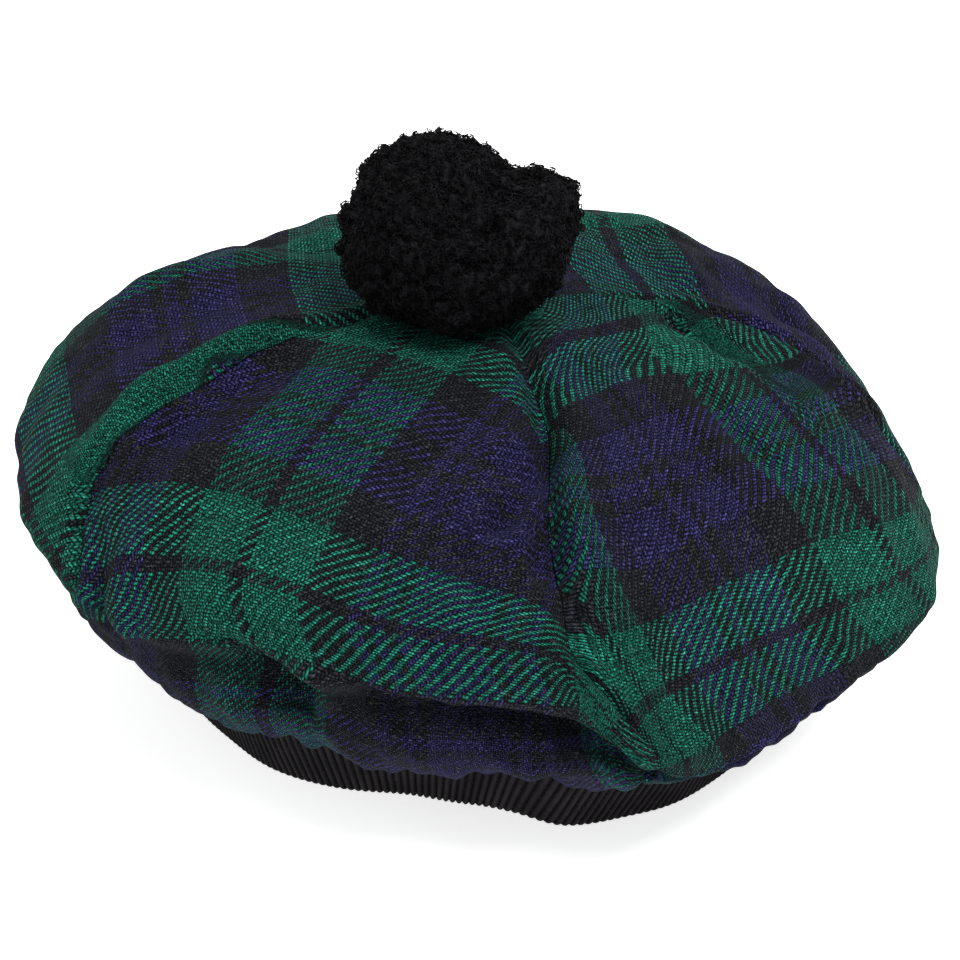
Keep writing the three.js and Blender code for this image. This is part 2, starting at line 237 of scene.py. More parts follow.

# %% [markdown]
# ## Twill weave
# In a two-and-two twill every thread passes over two and under two, and each row starts one
# thread further along, which draws the slanting lines. A picture of cloth could do this, and
# so could real threads, but a bonnet has well over a hundred thousand crossings. The weave is
# a rule, so arithmetic on the thread numbers gives it exactly: which thread is on top, how
# far along its float a place is, and how high the rounded yarn stands there. From that height
# it also paints shade into the gaps between yarns and at the ends of each float, and it paints
# the lower warp floats darker than the weft. The group's input is a place counted in threads.

# %% Twill weave group
twill, given, result = new_group(
    "twill_weave", "ShaderNodeTree",
    [("Threads", "vector", None), ("Yarn Twist", "value", 0.08)],
    [("Warp Number", "value"), ("Weft Number", "value"), ("Warp On Top", "value"),
     ("Height", "value"), ("Shade", "value"), ("Seed", "value")],
)
place = add(twill, "ShaderNodeSeparateXYZ", {0: given["Threads"]}).outputs
warp_number = maths(twill, "FLOOR", place["X"])
weft_number = maths(twill, "FLOOR", place["Y"])
YARN_ROUND = 0.95  # how far a yarn's sides fall away
FLOAT_DIP = 0.45   # how far it dips where it goes under
PLY_SLANT = 0.4
PLIES = 6.3        # turn of its ply, in radians for each thread crossed
WARP_SHADE, WEFT_SHADE = 1.5, 2.35  # painted shade: the lower warp floats are drawn darker than the weft


def float_height(along, across, twist):
    """Height of a yarn that is on top: rounded across, and dipping at both ends of its float."""
    side = maths(twill, "MULTIPLY", maths(twill, "SUBTRACT", maths(twill, "FRACT", across), 0.5), 2.0)
    edge = maths(twill, "POWER", side, 2.0)
    round_yarn = maths(twill, "SQRT", maths(twill, "MULTIPLY_ADD", edge, -YARN_ROUND, 1.0))
    end = maths(twill, "POWER", maths(twill, "ABSOLUTE", along), 2.5)
    dip = maths(twill, "MULTIPLY_ADD", end, -FLOAT_DIP, 1.0)
    slanted = maths(twill, "MULTIPLY_ADD", side, PLY_SLANT, along)
    ply = maths(twill, "SINE", maths(twill, "MULTIPLY", slanted, PLIES))
    smooth_yarn = maths(twill, "MULTIPLY", round_yarn, dip)
    return maths(twill, "MULTIPLY_ADD", ply, twist, smooth_yarn)


warp_along = maths(twill, "WRAP", maths(twill, "ADD", place["Y"], warp_number), 3.0, -1.0)
shifted = maths(twill, "SUBTRACT", maths(twill, "ADD", place["X"], weft_number), 2.0)
weft_along = maths(twill, "WRAP", shifted, 3.0, -1.0)
on_top = maths(twill, "LESS_THAN", warp_along, 1.0)
warp_height = float_height(warp_along, place["X"], given["Yarn Twist"])
weft_height = float_height(weft_along, place["Y"], given["Yarn Twist"])
height = add(twill, "ShaderNodeMix", {"Factor": on_top, "A": weft_height, "B": warp_height}).outputs["Result"]
warp_seed = maths(twill, "MULTIPLY", warp_number, 0.37)
weft_seed = maths(twill, "MULTIPLY_ADD", weft_number, 0.37, 500.2)
seed = add(twill, "ShaderNodeMix", {"Factor": on_top, "A": weft_seed, "B": warp_seed}).outputs["Result"]
# painted shade: the yarn's height cubed darkens the gaps between yarns and the float ends, and this factor
# draws the lower warp floats darker
system_shade = maths(twill, "MULTIPLY_ADD", on_top, WARP_SHADE - WEFT_SHADE, WEFT_SHADE)
yarn_chance = add(twill, "ShaderNodeTexWhiteNoise", {"W": seed}, noise_dimensions="1D").outputs["Value"]
for name, value in {
    "Warp Number": maths(twill, "ADD", warp_number, 0.5),
    "Weft Number": maths(twill, "ADD", weft_number, 0.5),
    "Warp On Top": on_top,
    "Height": height,
    "Shade": maths(twill, "MULTIPLY", maths(twill, "POWER", height, 3.0), system_shade),
    "Seed": yarn_chance,
}.items():
    fill(twill, result.inputs[name], value)
print("twill weave:", len(twill.nodes), "nodes")

# %% [markdown]
# ## Order of the colours
# A check is woven by dyeing, not by printing: the same order of coloured threads runs both
# ways, and each crossing shows whichever thread is on top. So the order is written once, as
# a weaver would write it, and a colour ramp with hard steps looks a thread number up in it.
# Here it is broad bands of navy and of dark green, parted by black, with fine black lines.

# %% Colour order group
NAVY = (0.012, 0.011, 0.044, 1)
BLACK = (0.0075, 0.0085, 0.0110, 1)
GREEN = (0.005, 0.068, 0.047, 1)
NARROW_NAVY = [(NAVY, 14), (BLACK, 4), (NAVY, 3), (BLACK, 4), (NAVY, 14)]
BROAD_NAVY = [(NAVY, 4), (BLACK, 4), (NAVY, 4), (BLACK, 3), (NAVY, 22),
              (BLACK, 3), (NAVY, 4), (BLACK, 4), (NAVY, 4)]
BLACK_BAND = [(BLACK, 16)]
GREEN_BAND = [(GREEN, 20), (BLACK, 4), (GREEN, 20)]
THREAD_ORDER = (NARROW_NAVY + BLACK_BAND + GREEN_BAND + BLACK_BAND
                + BROAD_NAVY + BLACK_BAND + GREEN_BAND + BLACK_BAND)
REPEAT = sum(count for colour, count in THREAD_ORDER)
NARROW_COUNT = sum(count for colour, count in NARROW_NAVY)
GREEN_START = sum(count for colour, count in NARROW_NAVY + BLACK_BAND)

order_group, given, result = new_group(
    "thread_colour", "ShaderNodeTree", [("Thread Number", "value", 0.0)], [("Colour", "colour")],
)
ramp_node = add(order_group, "ShaderNodeValToRGB")
ramp = ramp_node.color_ramp
ramp.interpolation = "CONSTANT"
thread = 0
for step, (colour, count) in enumerate(THREAD_ORDER):
    position = thread / REPEAT
    stop = ramp.elements[step] if step < 2 else ramp.elements.new(position)
    stop.position = position
    stop.color = colour
    thread += count
in_repeat = maths(order_group, "WRAP", given["Thread Number"], float(REPEAT), 0.0)
fill(order_group, ramp_node.inputs[0], maths(order_group, "DIVIDE", in_repeat, float(REPEAT)))
fill(order_group, result.inputs["Colour"], ramp_node.outputs["Color"])
print("colour order:", len(THREAD_ORDER), "bands in", REPEAT, "threads")

# %% [markdown]
# ## Loose fibres
# Wool is never quite smooth: short fibres stand out of every yarn and catch the light. All
# of the bonnet's yarns need that, so it is one group, which stretches a fine noise one way
# and another way and keeps only the tops. Its mask is where a finish paints a highlight on
# the fibre tops, and its height goes into the bump.

# %% Loose fibre group
fibres, given, result = new_group(
    "loose_fibres", "ShaderNodeTree",
    [("Place", "vector", None), ("Fibres Per Metre", "value", 2500.0), ("Share", "value", 0.4)],
    [("Mask", "value"), ("Height", "value")],
)
layers = []
for name, stretch in {"one way": (1.0, 0.22, 0.5), "other way": (0.25, 1.0, 0.6)}.items():
    squeezed = add(fibres, "ShaderNodeVectorMath", {0: given["Place"], 1: stretch}, operation="MULTIPLY")
    grain = add(fibres, "ShaderNodeTexNoise", {
        "Vector": squeezed.outputs[0], "Scale": given["Fibres Per Metre"], "Detail": 2.0, "Roughness": 0.6,
        "Distortion": 0.8})
    layers.append(grain.outputs["Fac"])
highest = maths(fibres, "MAXIMUM", *layers)
limit = maths(fibres, "MULTIPLY_ADD", given["Share"], -0.25, 0.72)
over = maths(fibres, "SUBTRACT", highest, limit)
# painted highlight: the mask marks the fibre tops that the finishes paint paler
fill(fibres, result.inputs["Mask"], remap(fibres, over, 0.0, 0.12, 0.0, 1.0))
fill(fibres, result.inputs["Height"], highest)
print("loose fibres:", len(fibres.nodes), "nodes")

# %% [markdown]
# ## Checked wool
# The finish joins the three groups. The weave says which thread shows and paints the shade
# between the yarns, the order says its colour, fine noise paints glints and shade on the
# fibres, and a painted highlight on the fibre tops lightens it a little. Places come from the
# cloth's own map, counted in threads, so the check follows every fold and stops at each seam
# as cut cloth does.
# A second map, called roll, has two shares. One says where the cloth rolls over beside a
# seam and shows only its green yarns. The other says where gathering crowds the threads:
# there the weave is counted faster, and the colours are looked up at the old count, so
# only the threads draw closer and the check keeps its size.

# %% Checked wool material
def new_material(name):
    """A material with its tree, its shader and no other nodes."""
    material = bpy.data.materials.new(name)
    material.use_nodes = True
    tree = material.node_tree
    tree.nodes.clear()
    shader = add(tree, "ShaderNodeBsdfPrincipled")
    add(tree, "ShaderNodeOutputMaterial", {"Surface": shader.outputs["BSDF"]})
    return material, tree, shader


wool, tree, shader = new_material("checked_wool")
threads = add(tree, "ShaderNodeUVMap", uv_map="threads").outputs["UV"]
here = add(tree, "ShaderNodeTexCoord").outputs["Object"]
wander = add(tree, "ShaderNodeTexNoise", {"Vector": threads, "Scale": 0.35, "Detail": 2.0})
centred = add(tree, "ShaderNodeVectorMath", {0: wander.outputs["Color"], 1: (0.5, 0.5, 0.5)},
              operation="SUBTRACT")
WANDER = 0.9           # threads that a thread may stray by
MOST_CLOSENESS = 0.7   # share by which crowded threads draw closer
CLOSENESS_FROM = 75.0  # the thread number that the crowding leaves in its place
wandering = add(tree, "ShaderNodeVectorMath", {0: centred.outputs[0], 1: (WANDER, WANDER, 0.0), 2: threads},
                operation="MULTIPLY_ADD")
roll_map = add(tree, "ShaderNodeUVMap", uv_map="roll").outputs["UV"]
roll = add(tree, "ShaderNodeSeparateXYZ", {0: roll_map}).outputs
closeness = maths(tree, "MULTIPLY_ADD", roll["Y"], MOST_CLOSENESS, 1.0)


def uncrowded(number):
    """The thread number that a crowded one has in the order of the colours."""
    moved = maths(tree, "SUBTRACT", number, CLOSENESS_FROM)
    return maths(tree, "ADD", maths(tree, "DIVIDE", moved, closeness), CLOSENESS_FROM)


still = (CLOSENESS_FROM,) * 3
apart = add(tree, "ShaderNodeVectorMath", {0: wandering.outputs[0], 1: still}, operation="SUBTRACT")
spread = add(tree, "ShaderNodeVectorMath", {0: apart.outputs[0], "Scale": closeness}, operation="SCALE")
closer = add(tree, "ShaderNodeVectorMath", {0: spread.outputs[0], 1: still}).outputs[0]
weave = use_group(tree, twill, {"Threads": closer, "Yarn Twist": 0.14})
warp_colour = use_group(tree, order_group, {"Thread Number": uncrowded(weave["Warp Number"])})["Colour"]
weft_colour = use_group(tree, order_group, {"Thread Number": uncrowded(weave["Weft Number"])})["Colour"]
checked = mix_colour(tree, weave["Warp On Top"], weft_colour, warp_colour)
woven = mix_colour(tree, roll["X"], checked, GREEN)
uneven = remap(tree, weave["Seed"], 0.0, 1.0, 0.72, 1.25)
slow = add(tree, "ShaderNodeTexNoise", {"Vector": here, "Scale": 45.0, "Detail": 3.0}).outputs["Fac"]
cloudy = remap(tree, slow, 0.3, 0.7, 0.88, 1.12)
# painted glints and shade: fine noise lightens and darkens the colour as fibres would catch the light or fall
# in shade
fine = add(tree, "ShaderNodeTexNoise", {"Vector": here, "Scale": 1700.0, "Detail": 1.0}).outputs["Fac"]
fibre_glint_and_shade = remap(tree, fine, 0.3, 0.72, 0.0, 2.1)
tone_with_fibre_glints = maths(tree, "MULTIPLY", cloudy, fibre_glint_and_shade)
# painted shade from the weave, times random tone and the painted fibre glints
shade_glints_and_tone = maths(tree, "MULTIPLY", maths(tree, "MULTIPLY", weave["Shade"], uneven), tone_with_fibre_glints)
lit = add(tree, "ShaderNodeVectorMath", {0: woven, "Scale": shade_glints_and_tone}, operation="SCALE").outputs[0]
fuzz = use_group(tree, fibres, {"Place": here, "Fibres Per Metre": 1500.0, "Share": 0.3})
# painted highlight: a pale grey added on the fibre tops, as if they caught the light
painted_fibre_highlight = mix_colour(tree, 1.0, lit, (0.055, 0.052, 0.050, 1), "ADD")
fill(tree, shader.inputs["Base Color"], mix_colour(tree, fuzz["Mask"], lit, painted_fibre_highlight))
fill(tree, shader.inputs["Roughness"], remap(tree, weave["Height"], 0.3, 1.0, 0.98, 0.82))
shader.inputs["Specular IOR Level"].default_value = 0.06
shader.inputs["Sheen Weight"].default_value = 0.01
shader.inputs["Sheen Roughness"].default_value = 0.45
shader.inputs["Sheen Tint"].default_value = (0.55, 0.75, 0.75, 1)
relief = maths(tree, "MULTIPLY_ADD", fuzz["Height"], 0.35, weave["Height"])
bump = add(tree, "ShaderNodeBump", {"Strength": 1.0, "Distance": 0.0005, "Height": relief})
fill(tree, shader.inputs["Normal"], bump.outputs["Normal"])
print("checked wool:", len(tree.nodes), "nodes")

# %% [markdown]
# ## Rib knit, pompom yarn and sewing thread
# The three black finishes differ in their surface more than in their colour. The knit shows
# columns of V-shaped stitches with painted shade in the furrows between them, the pompom is
# soft dull yarn whose fine pale patches are partly random tone and partly painted glints, and
# the sewing thread is smoother than both. All three paint a highlight on their fibre tops.

# %% Black finishes
# painted shade: the near-black that the knit's furrows are drawn in
FURROW_SHADE = (0.0015, 0.0015, 0.002, 1)


def dark_yarn(name, colour, pale, rough, sheen, fibre_share, relief_of=None, patch=(90.0, 0.4)):
    """A dull dark yarn finish, with relief from a map if one is given."""
    material, tree, shader = new_material(name)
    place = add(tree, "ShaderNodeTexCoord").outputs["Object"]
    fuzz = use_group(tree, fibres, {"Place": place, "Fibres Per Metre": 2200.0, "Share": fibre_share})
    patch_scale, most_pale = patch
    patches = add(tree, "ShaderNodeTexNoise", {"Vector": place, "Scale": patch_scale, "Detail": 2.0})
    tone = mix_colour(tree, remap(tree, patches.outputs["Fac"], 0.4, 0.68, 0.0, most_pale), colour, pale)
    height = fuzz["Height"]
    if relief_of:
        stitch = relief_of(tree)
        # painted shade: the low parts between ribs and stitches are darkened towards near-black
        tone = mix_colour(tree, remap(tree, stitch, 0.0, 0.8, 0.9, 0.0), tone, FURROW_SHADE)
        height = maths(tree, "MULTIPLY_ADD", fuzz["Height"], 0.5, stitch)
    # painted highlight: the fibre tops are mixed towards the pale colour
    fibre_glint_share = maths(tree, "MULTIPLY", fuzz["Mask"], 0.6)
    fill(tree, shader.inputs["Base Color"], mix_colour(tree, fibre_glint_share, tone, pale))
    fill(tree, shader.inputs["Roughness"], remap(tree, fuzz["Height"], 0.3, 0.8, rough + 0.1, rough - 0.1))
    shader.inputs["Specular IOR Level"].default_value = 0.08
    shader.inputs["Sheen Weight"].default_value = sheen
    shader.inputs["Sheen Roughness"].default_value = 0.5
    bump = add(tree, "ShaderNodeBump", {"Strength": 0.7, "Distance": 0.0003, "Height": height})
    fill(tree, shader.inputs["Normal"], bump.outputs["Normal"])
    return material


def stitch_columns(tree):
    """Height of V-shaped knit stitches, from a map counted in ribs and stitch rows."""
    knit = add(tree, "ShaderNodeUVMap", uv_map="stitches").outputs["UV"]
    at = add(tree, "ShaderNodeSeparateXYZ", {0: knit}).outputs
    side = maths(tree, "ABSOLUTE", maths(tree, "SUBTRACT", maths(tree, "FRACT", at["X"]), 0.5))
    slanted = maths(tree, "FRACT", maths(tree, "MULTIPLY_ADD", side, -1.3, at["Y"]))
    row = maths(tree, "SINE", maths(tree, "MULTIPLY", slanted, math.pi))
    turn = maths(tree, "MULTIPLY", maths(tree, "FRACT", at["X"]), math.pi)
    rib = maths(tree, "POWER", maths(tree, "SINE", turn), 1.6)
    return maths(tree, "MULTIPLY", rib, maths(tree, "MULTIPLY_ADD", row, 0.15, 0.85))


knit = dark_yarn("black_rib_knit", (0.018, 0.016, 0.018, 1), (0.045, 0.041, 0.044, 1), 0.85, 0.0, 0.4,
                 relief_of=stitch_columns)
# on the pompom the pale patches are fine and strong: partly random tone of the strands, partly painted glints
# where they catch the light
yarn = dark_yarn("black_pompom_yarn", (0.0004, 0.0004, 0.0006, 1), (0.012, 0.012, 0.015, 1), 0.7, 0.0, 0.1,
                 patch=(500.0, 0.6))
thread_finish = dark_yarn("black_sewing_thread", (0.008, 0.008, 0.009, 1), (0.03, 0.03, 0.03, 1),
                          0.6, 0.05, 0.2)
print("black finishes made")

# %% [markdown]
# ## The shape of the cloth
# A gathered bonnet could be found by simulating flat panels, but its folds would fall where
# they liked. This one has its own folds, so the surface is a rule instead: at each bearing,
# eight rings from the crown's centre to the hem are joined by a smooth curve, and folds and
# gathers are then pressed into that. Distances along the cloth run from 0 at the centre to 1
# at the hem.

# %% Sections of the bonnet
RINGS = np.array([0.0, 0.27, 0.49, 0.66, 0.71, 0.78, 0.86, 1.0])
CROWN_REACH = 0.45
SHOULDER_REACH = 0.8
HEM_RISE = 40.0
CROWN_TOP = 112.0
CROWN_SHIFT = (-1.0, 26.0)
LEAN_END = 0.62
HEM_HEIGHT = 33.0
HEM_CLEARANCE = 1.1
FLAT_RADIUS = 230.0
SECTION_NAMES = ["crown_z", "shoulder_z", "lip_r", "lip_z", "tuck_r", "tuck_z", "puff_r", "puff_z",
                 "belly_r", "belly_z"]
SECTION_ROWS = [  # bearing, then the names above, in mm
    (-12, 111, 96, 128, 74, 120, 65, 121, 50, 108, 36),
    (11, 111, 95, 130, 71, 122, 62, 122, 48, 109, 34),
    (25, 111, 91, 137, 51, 128, 46, 127, 40, 112, 31),
    (50, 111, 92, 130, 51, 123, 45, 124, 39, 112, 31),
    (75, 112, 95, 139, 58, 132, 50, 128, 42, 114, 33),
    (100, 112, 98, 133, 66, 129, 56, 126, 46, 113, 36),
    (130, 111, 104, 135, 74, 129, 63, 124, 50, 112, 39),
    (160, 111, 105, 138, 76, 132, 65, 126, 52, 112, 40),
    (190, 110, 103, 138, 76, 132, 64, 127, 52, 112, 40),
    (220, 110, 101, 134, 73, 130, 63, 125, 51, 112, 40),
    (250, 111, 103, 141, 78, 134, 66, 127, 53, 112, 40),
    (280, 112, 98, 138, 66, 131, 56, 125, 47, 112, 37),
    (305, 112, 96, 129, 61, 127, 54, 124, 45, 112, 35),
    (330, 111, 95, 126, 72, 118, 63, 120, 49, 110, 35),
]
section_bearings = [row[0] for row in SECTION_ROWS]
section = {
    name: round_curve(section_bearings, [row[k + 1] for row in SECTION_ROWS])
    for k, name in enumerate(SECTION_NAMES)
}
print("sections:", len(SECTION_ROWS), "bearings of", len(RINGS), "rings")


# %% The plain surface, before folds
def smooth_step(x):
    x = np.clip(x, 0.0, 1.0)
    return x * x * (3 - 2 * x)


def section_point(angle, t):
    """Radius and height in mm of the plain cloth at a bearing and a distance along it."""
    angle, t = np.broadcast_arrays(np.asarray(angle, float), np.asarray(t, float))
    at = {name: curve(angle) for name, curve in section.items()}
    whole = np.ones_like(angle)
    radii = np.stack([0 * whole, CROWN_REACH * at["lip_r"], SHOULDER_REACH * at["lip_r"], at["lip_r"],
                      at["tuck_r"], at["puff_r"], at["belly_r"], band_radius(angle) + HEM_CLEARANCE])
    heights = np.stack([CROWN_TOP * whole, at["crown_z"], at["shoulder_z"], at["lip_z"],
                        at["tuck_z"], at["puff_z"], at["belly_z"], HEM_HEIGHT * whole])
    steps = np.diff(RINGS)
    k = np.clip(np.searchsorted(RINGS, t, side="right") - 1, 0, len(steps) - 1)
    found = []
    for values, first_slope, last_slope in ((radii, 1.0, (0.5, 0.0)), (heights, 0.0, (1.0, HEM_RISE))):
        slopes = np.zeros_like(values)
        spans = (RINGS[2:] - RINGS[:-2]).reshape((-1,) + (1,) * angle.ndim)
        slopes[1:-1] = (values[2:] - values[:-2]) / spans
        slopes[0] = first_slope * (values[1] - values[0]) / steps[0]
        slopes[-1] = last_slope[0] * (values[-1] - values[-2]) / steps[-1] + last_slope[1]
        pick = lambda table, j: np.take_along_axis(table, j[None], 0)[0]
        step = steps[k]
        f = (t - RINGS[k]) / step
        found.append(hermite(pick(values, k), pick(values, k + 1), pick(slopes, k) * step,
                             pick(slopes, k + 1) * step, f))
    return found


def plain_surface(angle, t):
    """The cloth without folds, as points in mm."""
    radius, height = section_point(angle, t)
    lean = smooth_step(1 - np.asarray(t, float) / LEAN_END)
    x = radius * np.sin(angle) + CROWN_SHIFT[0] * lean
    y = -radius * np.cos(angle) + CROWN_SHIFT[1] * lean
    return np.stack([x, y, height], -1)


def normals_of(surface, angle, t, step_angle=0.012, step_t=0.006):
    """Outward unit normals of a surface."""
    across = surface(angle + step_angle, t) - surface(angle - step_angle, t)
    low = np.maximum(t - step_t, 0.004)
    down = surface(angle, np.minimum(t + step_t, 1.0)) - surface(angle, low)
    normal = np.cross(down, across)
    return normal / np.linalg.norm(normal, axis=-1, keepdims=True)


probe = plain_surface(np.radians([0.0, 90.0]), np.array([0.66, 0.66]))
print("rim at the front and the right, mm:", np.round(probe, 1).tolist())

# %% [markdown]
# ## Folds, wrinkles and gathers
# Each fold is a short course on the flat cloth through three places, with a rounded ridge or
# valley across it. The wide ones are in the frame's shells too, and the fine ones are added
# here. Near the hem the spare cloth stands in puffs between the stitches that draw it in.

# %% Folds and wrinkles
FOLDS = [  # name, bearing and distance along the cloth of three places, width mm, height mm
    ("front seam valley", 23, 0.1, 18, 0.24, 14, 0.38, 6, -5),
    ("front seam pocket", 14, 0.38, 12, 0.44, 12, 0.52, 5, -6),
    ("front seam ridge", 24, 0.26, 18, 0.42, 21, 0.58, 7, 3),
    ("front puff", 4, 0.34, 5, 0.41, 6, 0.48, 14, 3),
    ("front slanting dent", 14, 0.3, 7, 0.38, 2, 0.46, 6, -3),
    ("right seam ridge", 108, 0.29, 98, 0.43, 93, 0.6, 7, 4),
    ("right back ridge", 110, 0.3, 128, 0.34, 146, 0.42, 7, 4),
    ("right back valley", 122, 0.42, 115, 0.5, 112, 0.6, 9, -6),
    ("right inner crease", 98, 0.22, 90, 0.28, 84, 0.35, 6, -3),
    ("left seam ridge", -76, 0.15, -74, 0.38, -71, 0.6, 7, 4),
    ("left seam valley", -64, 0.22, -62, 0.38, -64, 0.54, 9, -4),
    ("left back ridge", -126, 0.33, -113, 0.43, -104, 0.58, 8, 3),
    ("left back valley", -104, 0.28, -96, 0.4, -90, 0.54, 9, -4),
    ("front left pinch", -34, 0.62, -27, 0.7, -20, 0.82, 9, -8),
]
WRINKLES = [  # narrower ones that the frame's shells leave out, in the same columns
    ("front pocket crease", 12, 0.4, 9.5, 0.46, 11, 0.53, 2.2, -2.6),
    ("front seam small ridge", 19, 0.3, 16.5, 0.36, 16, 0.42, 2.5, 1.2),
    ("front seam deep line", 22, 0.15, 15, 0.34, 13.5, 0.5, 3.0, -3.4),
    ("front slanting crease", 15, 0.31, 8, 0.385, -2, 0.475, 2.6, -3.6),
    ("front slanting bank", 9, 0.27, 1, 0.345, -7, 0.435, 4, 1.6),
    ("front slanting foot", 12, 0.37, 8, 0.43, 2, 0.49, 3, 1.4),
    ("front long dent", -2, 0.475, 1, 0.52, 5, 0.56, 4, -1.6),
    ("left ridge crest", -76, 0.2, -74, 0.38, -73, 0.57, 3.2, 2.2),
    ("left ridge foot", -67, 0.24, -66, 0.4, -65, 0.55, 4.2, -2.6),
    ("left pocket", -66, 0.5, -68, 0.56, -64, 0.61, 4.5, -3.4),
    ("left edge drop", -66, 0.58, -58, 0.63, -52, 0.74, 4, -2.4),
    ("left edge flap", -58, 0.57, -52, 0.63, -46, 0.72, 6, 2.2),
    ("right front hollow", 70, 0.25, 63, 0.36, 60, 0.47, 5, -3.4),
    ("right front bank", 60, 0.26, 54, 0.36, 51, 0.46, 6, 1.4),
    ("left pinch lip", -40, 0.6, -32, 0.63, -22, 0.66, 3.5, 2.8),
    ("left pinch throat", -36, 0.655, -27, 0.68, -22, 0.77, 3.6, -5.0),
    ("left pinch flap", -24, 0.63, -18, 0.69, -18, 0.77, 4, 2.4),
    ("left pinch puff", -40, 0.7, -33, 0.76, -30, 0.84, 6, 2.0),
    ("front lip edge", -12, 0.64, 4, 0.65, 16, 0.625, 3.5, 3.2),
    ("front lip recess", -12, 0.7, 9, 0.705, 27, 0.7, 5, -9.0),
    ("front beak", 17, 0.62, 23, 0.64, 30, 0.635, 3.5, 4.0),
    ("front under puff", 2, 0.79, 9, 0.79, 16, 0.775, 6, 3.0),
    ("right lip step", 30, 0.665, 38, 0.685, 50, 0.69, 3, -2.6),
    ("right under puff", 27, 0.7, 36, 0.74, 48, 0.76, 6, 2.2),
    ("right crease line", 101, 0.21, 95, 0.28, 86, 0.335, 2.6, -3.0),
    ("right crease bank", 106, 0.24, 99, 0.3, 91, 0.36, 4, 2.4),
    ("right side hollow", 78, 0.34, 74, 0.44, 72, 0.52, 7, -1.5),
    ("left front hollow", -52, 0.5, -48, 0.57, -50, 0.63, 7, -1.6),
    ("left front swell", -42, 0.5, -38, 0.58, -38, 0.65, 9, 1.4),
    ("front left rim nick", -17, 0.62, -13, 0.67, -9, 0.74, 4.5, -2.0),
    ("crown pull left", -30, 0.1, -22, 0.16, -16, 0.22, 4, 0.8),
    ("back long wrinkle", 172, 0.2, 168, 0.34, 170, 0.5, 8, -1.8),
    ("back left wrinkle", 222, 0.22, 228, 0.36, 226, 0.52, 9, -1.8),
    ("back right swell", 150, 0.36, 152, 0.46, 156, 0.56, 11, 1.8),
    ("back swell", 205, 0.4, 210, 0.5, 208, 0.58, 12, 1.8),
]
FOLD_STEPS = 24
FOLD_FADE = 0.3
LEAST_FADE = 0.25


def flat_place(bearing, t):
    """Place in mm on the cloth opened out into a disc."""
    angle = np.radians(bearing)
    return np.stack([FLAT_RADIUS * t * np.sin(angle), FLAT_RADIUS * t * np.cos(angle)], -1)


def fold_height(angle, t, folds):
    """Height of all the folds at places on the cloth."""
    place = flat_place(np.degrees(angle), t)
    total = np.zeros(place.shape[:-1])
    u = np.linspace(0, 1, FOLD_STEPS + 1)[:, None]
    for name, b0, t0, b1, t1, b2, t2, width, height in folds:
        ends = [flat_place(b0, t0), flat_place(b1, t1), flat_place(b2, t2)]
        course = 2 * (u - 0.5) * (u - 1) * ends[0] - 4 * u * (u - 1) * ends[1] + 2 * u * (u - 0.5) * ends[2]
        reach = 3 * width
        near = np.all((place > course.min(0) - reach) & (place < course.max(0) + reach), -1)
        spots = place[near]
        nearest = np.full(len(spots), np.inf)
        along = np.zeros(len(spots))
        for k in range(FOLD_STEPS):
            leg = course[k + 1] - course[k]
            f = np.clip((spots - course[k]) @ leg / (leg @ leg), 0, 1)
            distance = np.linalg.norm(spots - course[k] - f[:, None] * leg, axis=-1)
            closer = distance < nearest
            nearest[closer] = distance[closer]
            along[closer] = (k + f[closer]) / FOLD_STEPS
        fade = np.maximum(smooth_step(np.minimum(along, 1 - along) / FOLD_FADE), LEAST_FADE)
        total[near] += height * fade * np.exp(-((nearest / width) ** 2))
    return total


print("folds:", len(FOLDS), "and wrinkles:", len(WRINKLES))

# %% Gathers between the stitches of the hem
STITCH_BEARINGS = np.array([5, 12, 24.5, 32, 42, 52, 62, 76, 90, 104, 121, 138, 156, 173, 190, 208, 226,
                            243, 259, 276, 292, 307, 334, 365])
GATHER_START = 0.62
GATHER_FULL = 0.87
GATHER_HEIGHT = 4.5
GATHER_LEVEL = 0.6
FULL_WIDTH = 15.0


def gather_height(angle, t):
    """Height of the puffs between neighbouring stitches."""
    first = STITCH_BEARINGS[0]
    bearing = first + np.mod(np.degrees(angle) - first, 360.0)
    k = np.clip(np.searchsorted(STITCH_BEARINGS, bearing, side="right") - 1, 0, len(STITCH_BEARINGS) - 2)
    width = STITCH_BEARINGS[k + 1] - STITCH_BEARINGS[k]
    across = np.clip((bearing - STITCH_BEARINGS[k]) / width, 0, 1)
    puff = np.minimum(width / FULL_WIDTH, 1) * np.sin(math.pi * across) ** 0.7
    grow = smooth_step((t - GATHER_START) / (GATHER_FULL - GATHER_START))
    flatten = 1 - 0.5 * np.clip((t - 0.9) / 0.1, 0, 1)
    return grow * (puff - GATHER_LEVEL) * GATHER_HEIGHT * flatten


# Small pleats ride on the puffs, finer than the frame's shells can show.
PLEAT_HEIGHT = 0.9


def pleat_height(angle, t):
    """Height of the fine pleats near the hem."""
    grow = smooth_step((t - 0.7) / 0.22)
    wave = np.sin(71 * angle + 2.4 * np.sin(5 * angle + 1) + 9 * t) + 0.6 * np.sin(113 * angle - 7 * t + 2)
    return PLEAT_HEIGHT * grow * wave / 1.6


def sway_height(angle, t):
    """Slow unevenness of soft cloth, at most about a millimetre."""
    place = flat_place(np.degrees(angle), t) / 1000
    x = place[..., 0]
    y = place[..., 1]
    wave = np.sin(190 * x + 3 * np.sin(90 * y)) + np.sin(165 * y + 2.5 * np.sin(120 * x + 1))
    fine = np.sin(410 * x - 260 * y + 2 * np.sin(200 * y)) + np.sin(330 * y + 290 * x + 1.7)
    return (0.35 * wave + 0.16 * fine) * smooth_step(t / 0.15)


